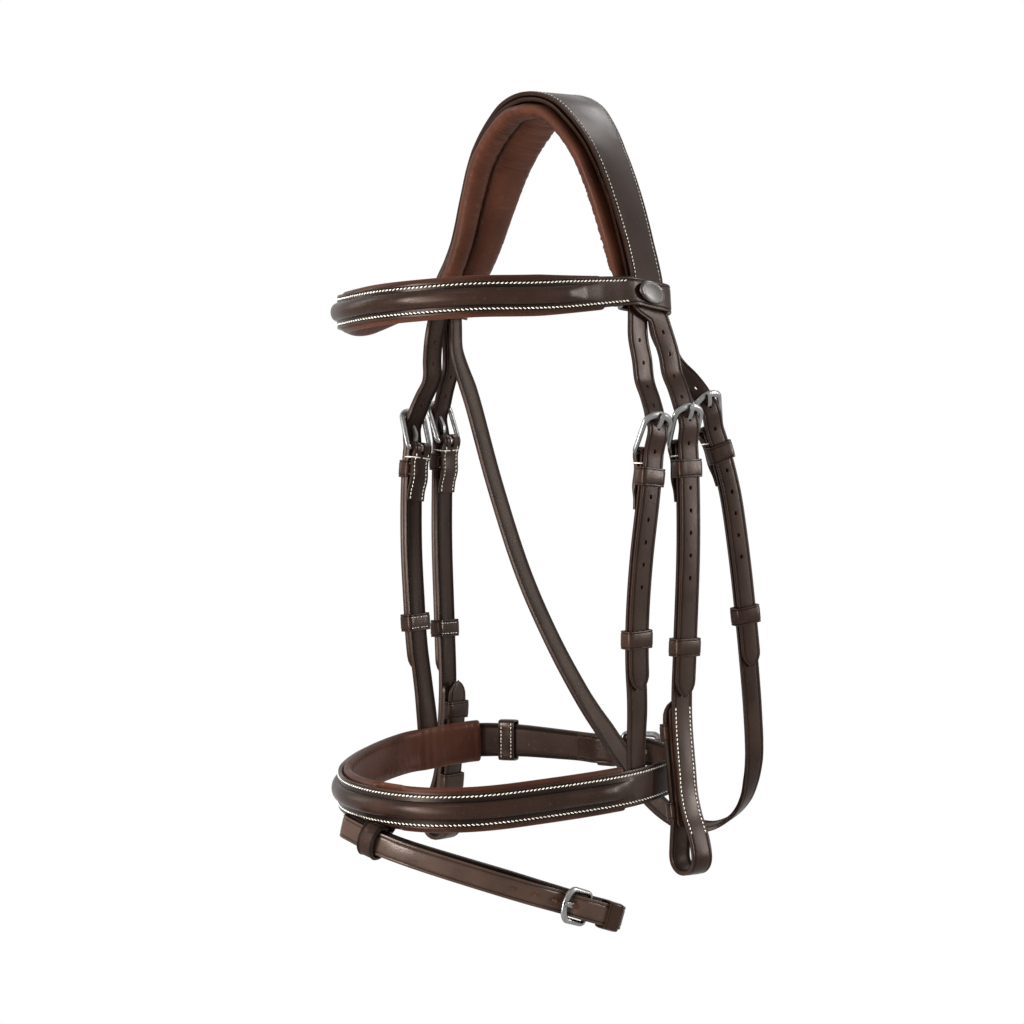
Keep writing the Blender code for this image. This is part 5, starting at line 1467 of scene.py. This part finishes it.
for step in range(1, 8):
    turn = math.pi * (0.5 - step / 8)
    offset = deep / 2 * (math.sin(turn) - 1)
    path.append((right + deep / 2 * math.cos(turn), offset, flash_drift * step / 8, flash_width))
for distance in flash.grid(right, left):
    share = share_between(distance, 0.0480, bar - 2 * buckle_length)
    path.append((distance, -(shallow + (deep - shallow) * share), flash_drift * share, flash_width))
for step in range(1, 8):
    turn = math.pi * (step / 8 - 0.5)
    path.append((left - shallow / 2 * math.cos(turn), shallow / 2 * (math.sin(turn) - 1), 0.0, flash_width))
billet = billet_path(flash, bar, flash_buckle_length, flash_billet_drop, flash_width, 0.0, flash_rise)
path += flash.run(left, billet[0][0], 0.0, flash_width)[:-1]
# The flash strap's grain side is glossier, and its colour about twice as light as the other straps' grain
# side: painted light for the broad highlight it catches.
flash_gloss_painted_lit = leather_finish("flash_gloss_painted_lit", (0.038, 0.0215, 0.0150), 0.27, gleam=0.50)
flash_rows = fine(laid(flash, path + billet))
flash_strap = lay_strap("flash_leather", flash_rows, (flash_gloss_painted_lit,) + strap_finishes[1:])
slot_fold(flash_strap, flash, bar)
spots = [tongue_spot(flash, bar, flash_buckle_length)]
for step in (1, 2, 3):
    distance = bar - flash_rise[6][0] * flash_buckle_length - step * hole_pitch
    point, _, across, outward = flash.at(distance)
    offset = -strap_pitch if distance > billet[0][0] + ribbon_step else 0.0
    spots.append((point + outward * offset, outward, across, 0.0010, 0.0013, strap_thickness))
pierce(flash_strap, spots)
dress(flash_strap, "flash", "bridle_leather", "flash_strap")
fit_buckle("flash", flash, bar, flash_width, flash_buckle_length)
stack = strap_pitch + strap_thickness / 2
keeper_frame = line_frame(flash, bar + flash_keeper_drop)
wrap_keeper(
    "flash_keeper", "flash", keeper_frame, flash_width, -stack, stack, keeper_clearance, flash_keeper_length
)

loop_length = 0.0125
loop_ease = 0.0010
band_thickness = 0.0016
wall = band_thickness / 2
point, along, across, outward = flash.at(flash.nearest(flash_line[1]))
hung = ring.at(ring.nearest(point))
face = (hung[0] - point).dot(outward)
edge = (hung[0] - point).dot(across) - noseband_width / 2
front = strap_thickness / 2 + loop_ease + wall
rear = -shallow - strap_thickness / 2 - loop_ease - wall
bottom = -flash_width / 2 - loop_ease - wall
top = flash_width / 2 + loop_ease + wall
tab = face - strap_thickness / 2 - 0.0014 - wall
corner = wall + lay_gap
outline = [
    (tab, edge + 0.0120), (tab, edge - 0.0014), (tab + corner, edge - 0.0014 - corner),
    (rear - corner, top - 3 * wall - lay_gap), (rear, top - 4 * wall - lay_gap), (rear, bottom + corner),
    (rear + corner, bottom), (front - corner, bottom), (front, bottom + corner), (front, top - corner),
    (front - corner, top), (rear + 2 * corner, top),
]
places = [[point + outward * reach + across * rise, along, loop_length, 0.0] for reach, rise in outline]
rows = fine(places, 0.0012)
flash_loop = lay_strap(
    "flash_loop_band", rows, keeper_finishes, band_thickness, round_off=0.0005, crease=0.0013
)
dress(flash_loop, "bridle", "bridle_leather", "flash_loop")
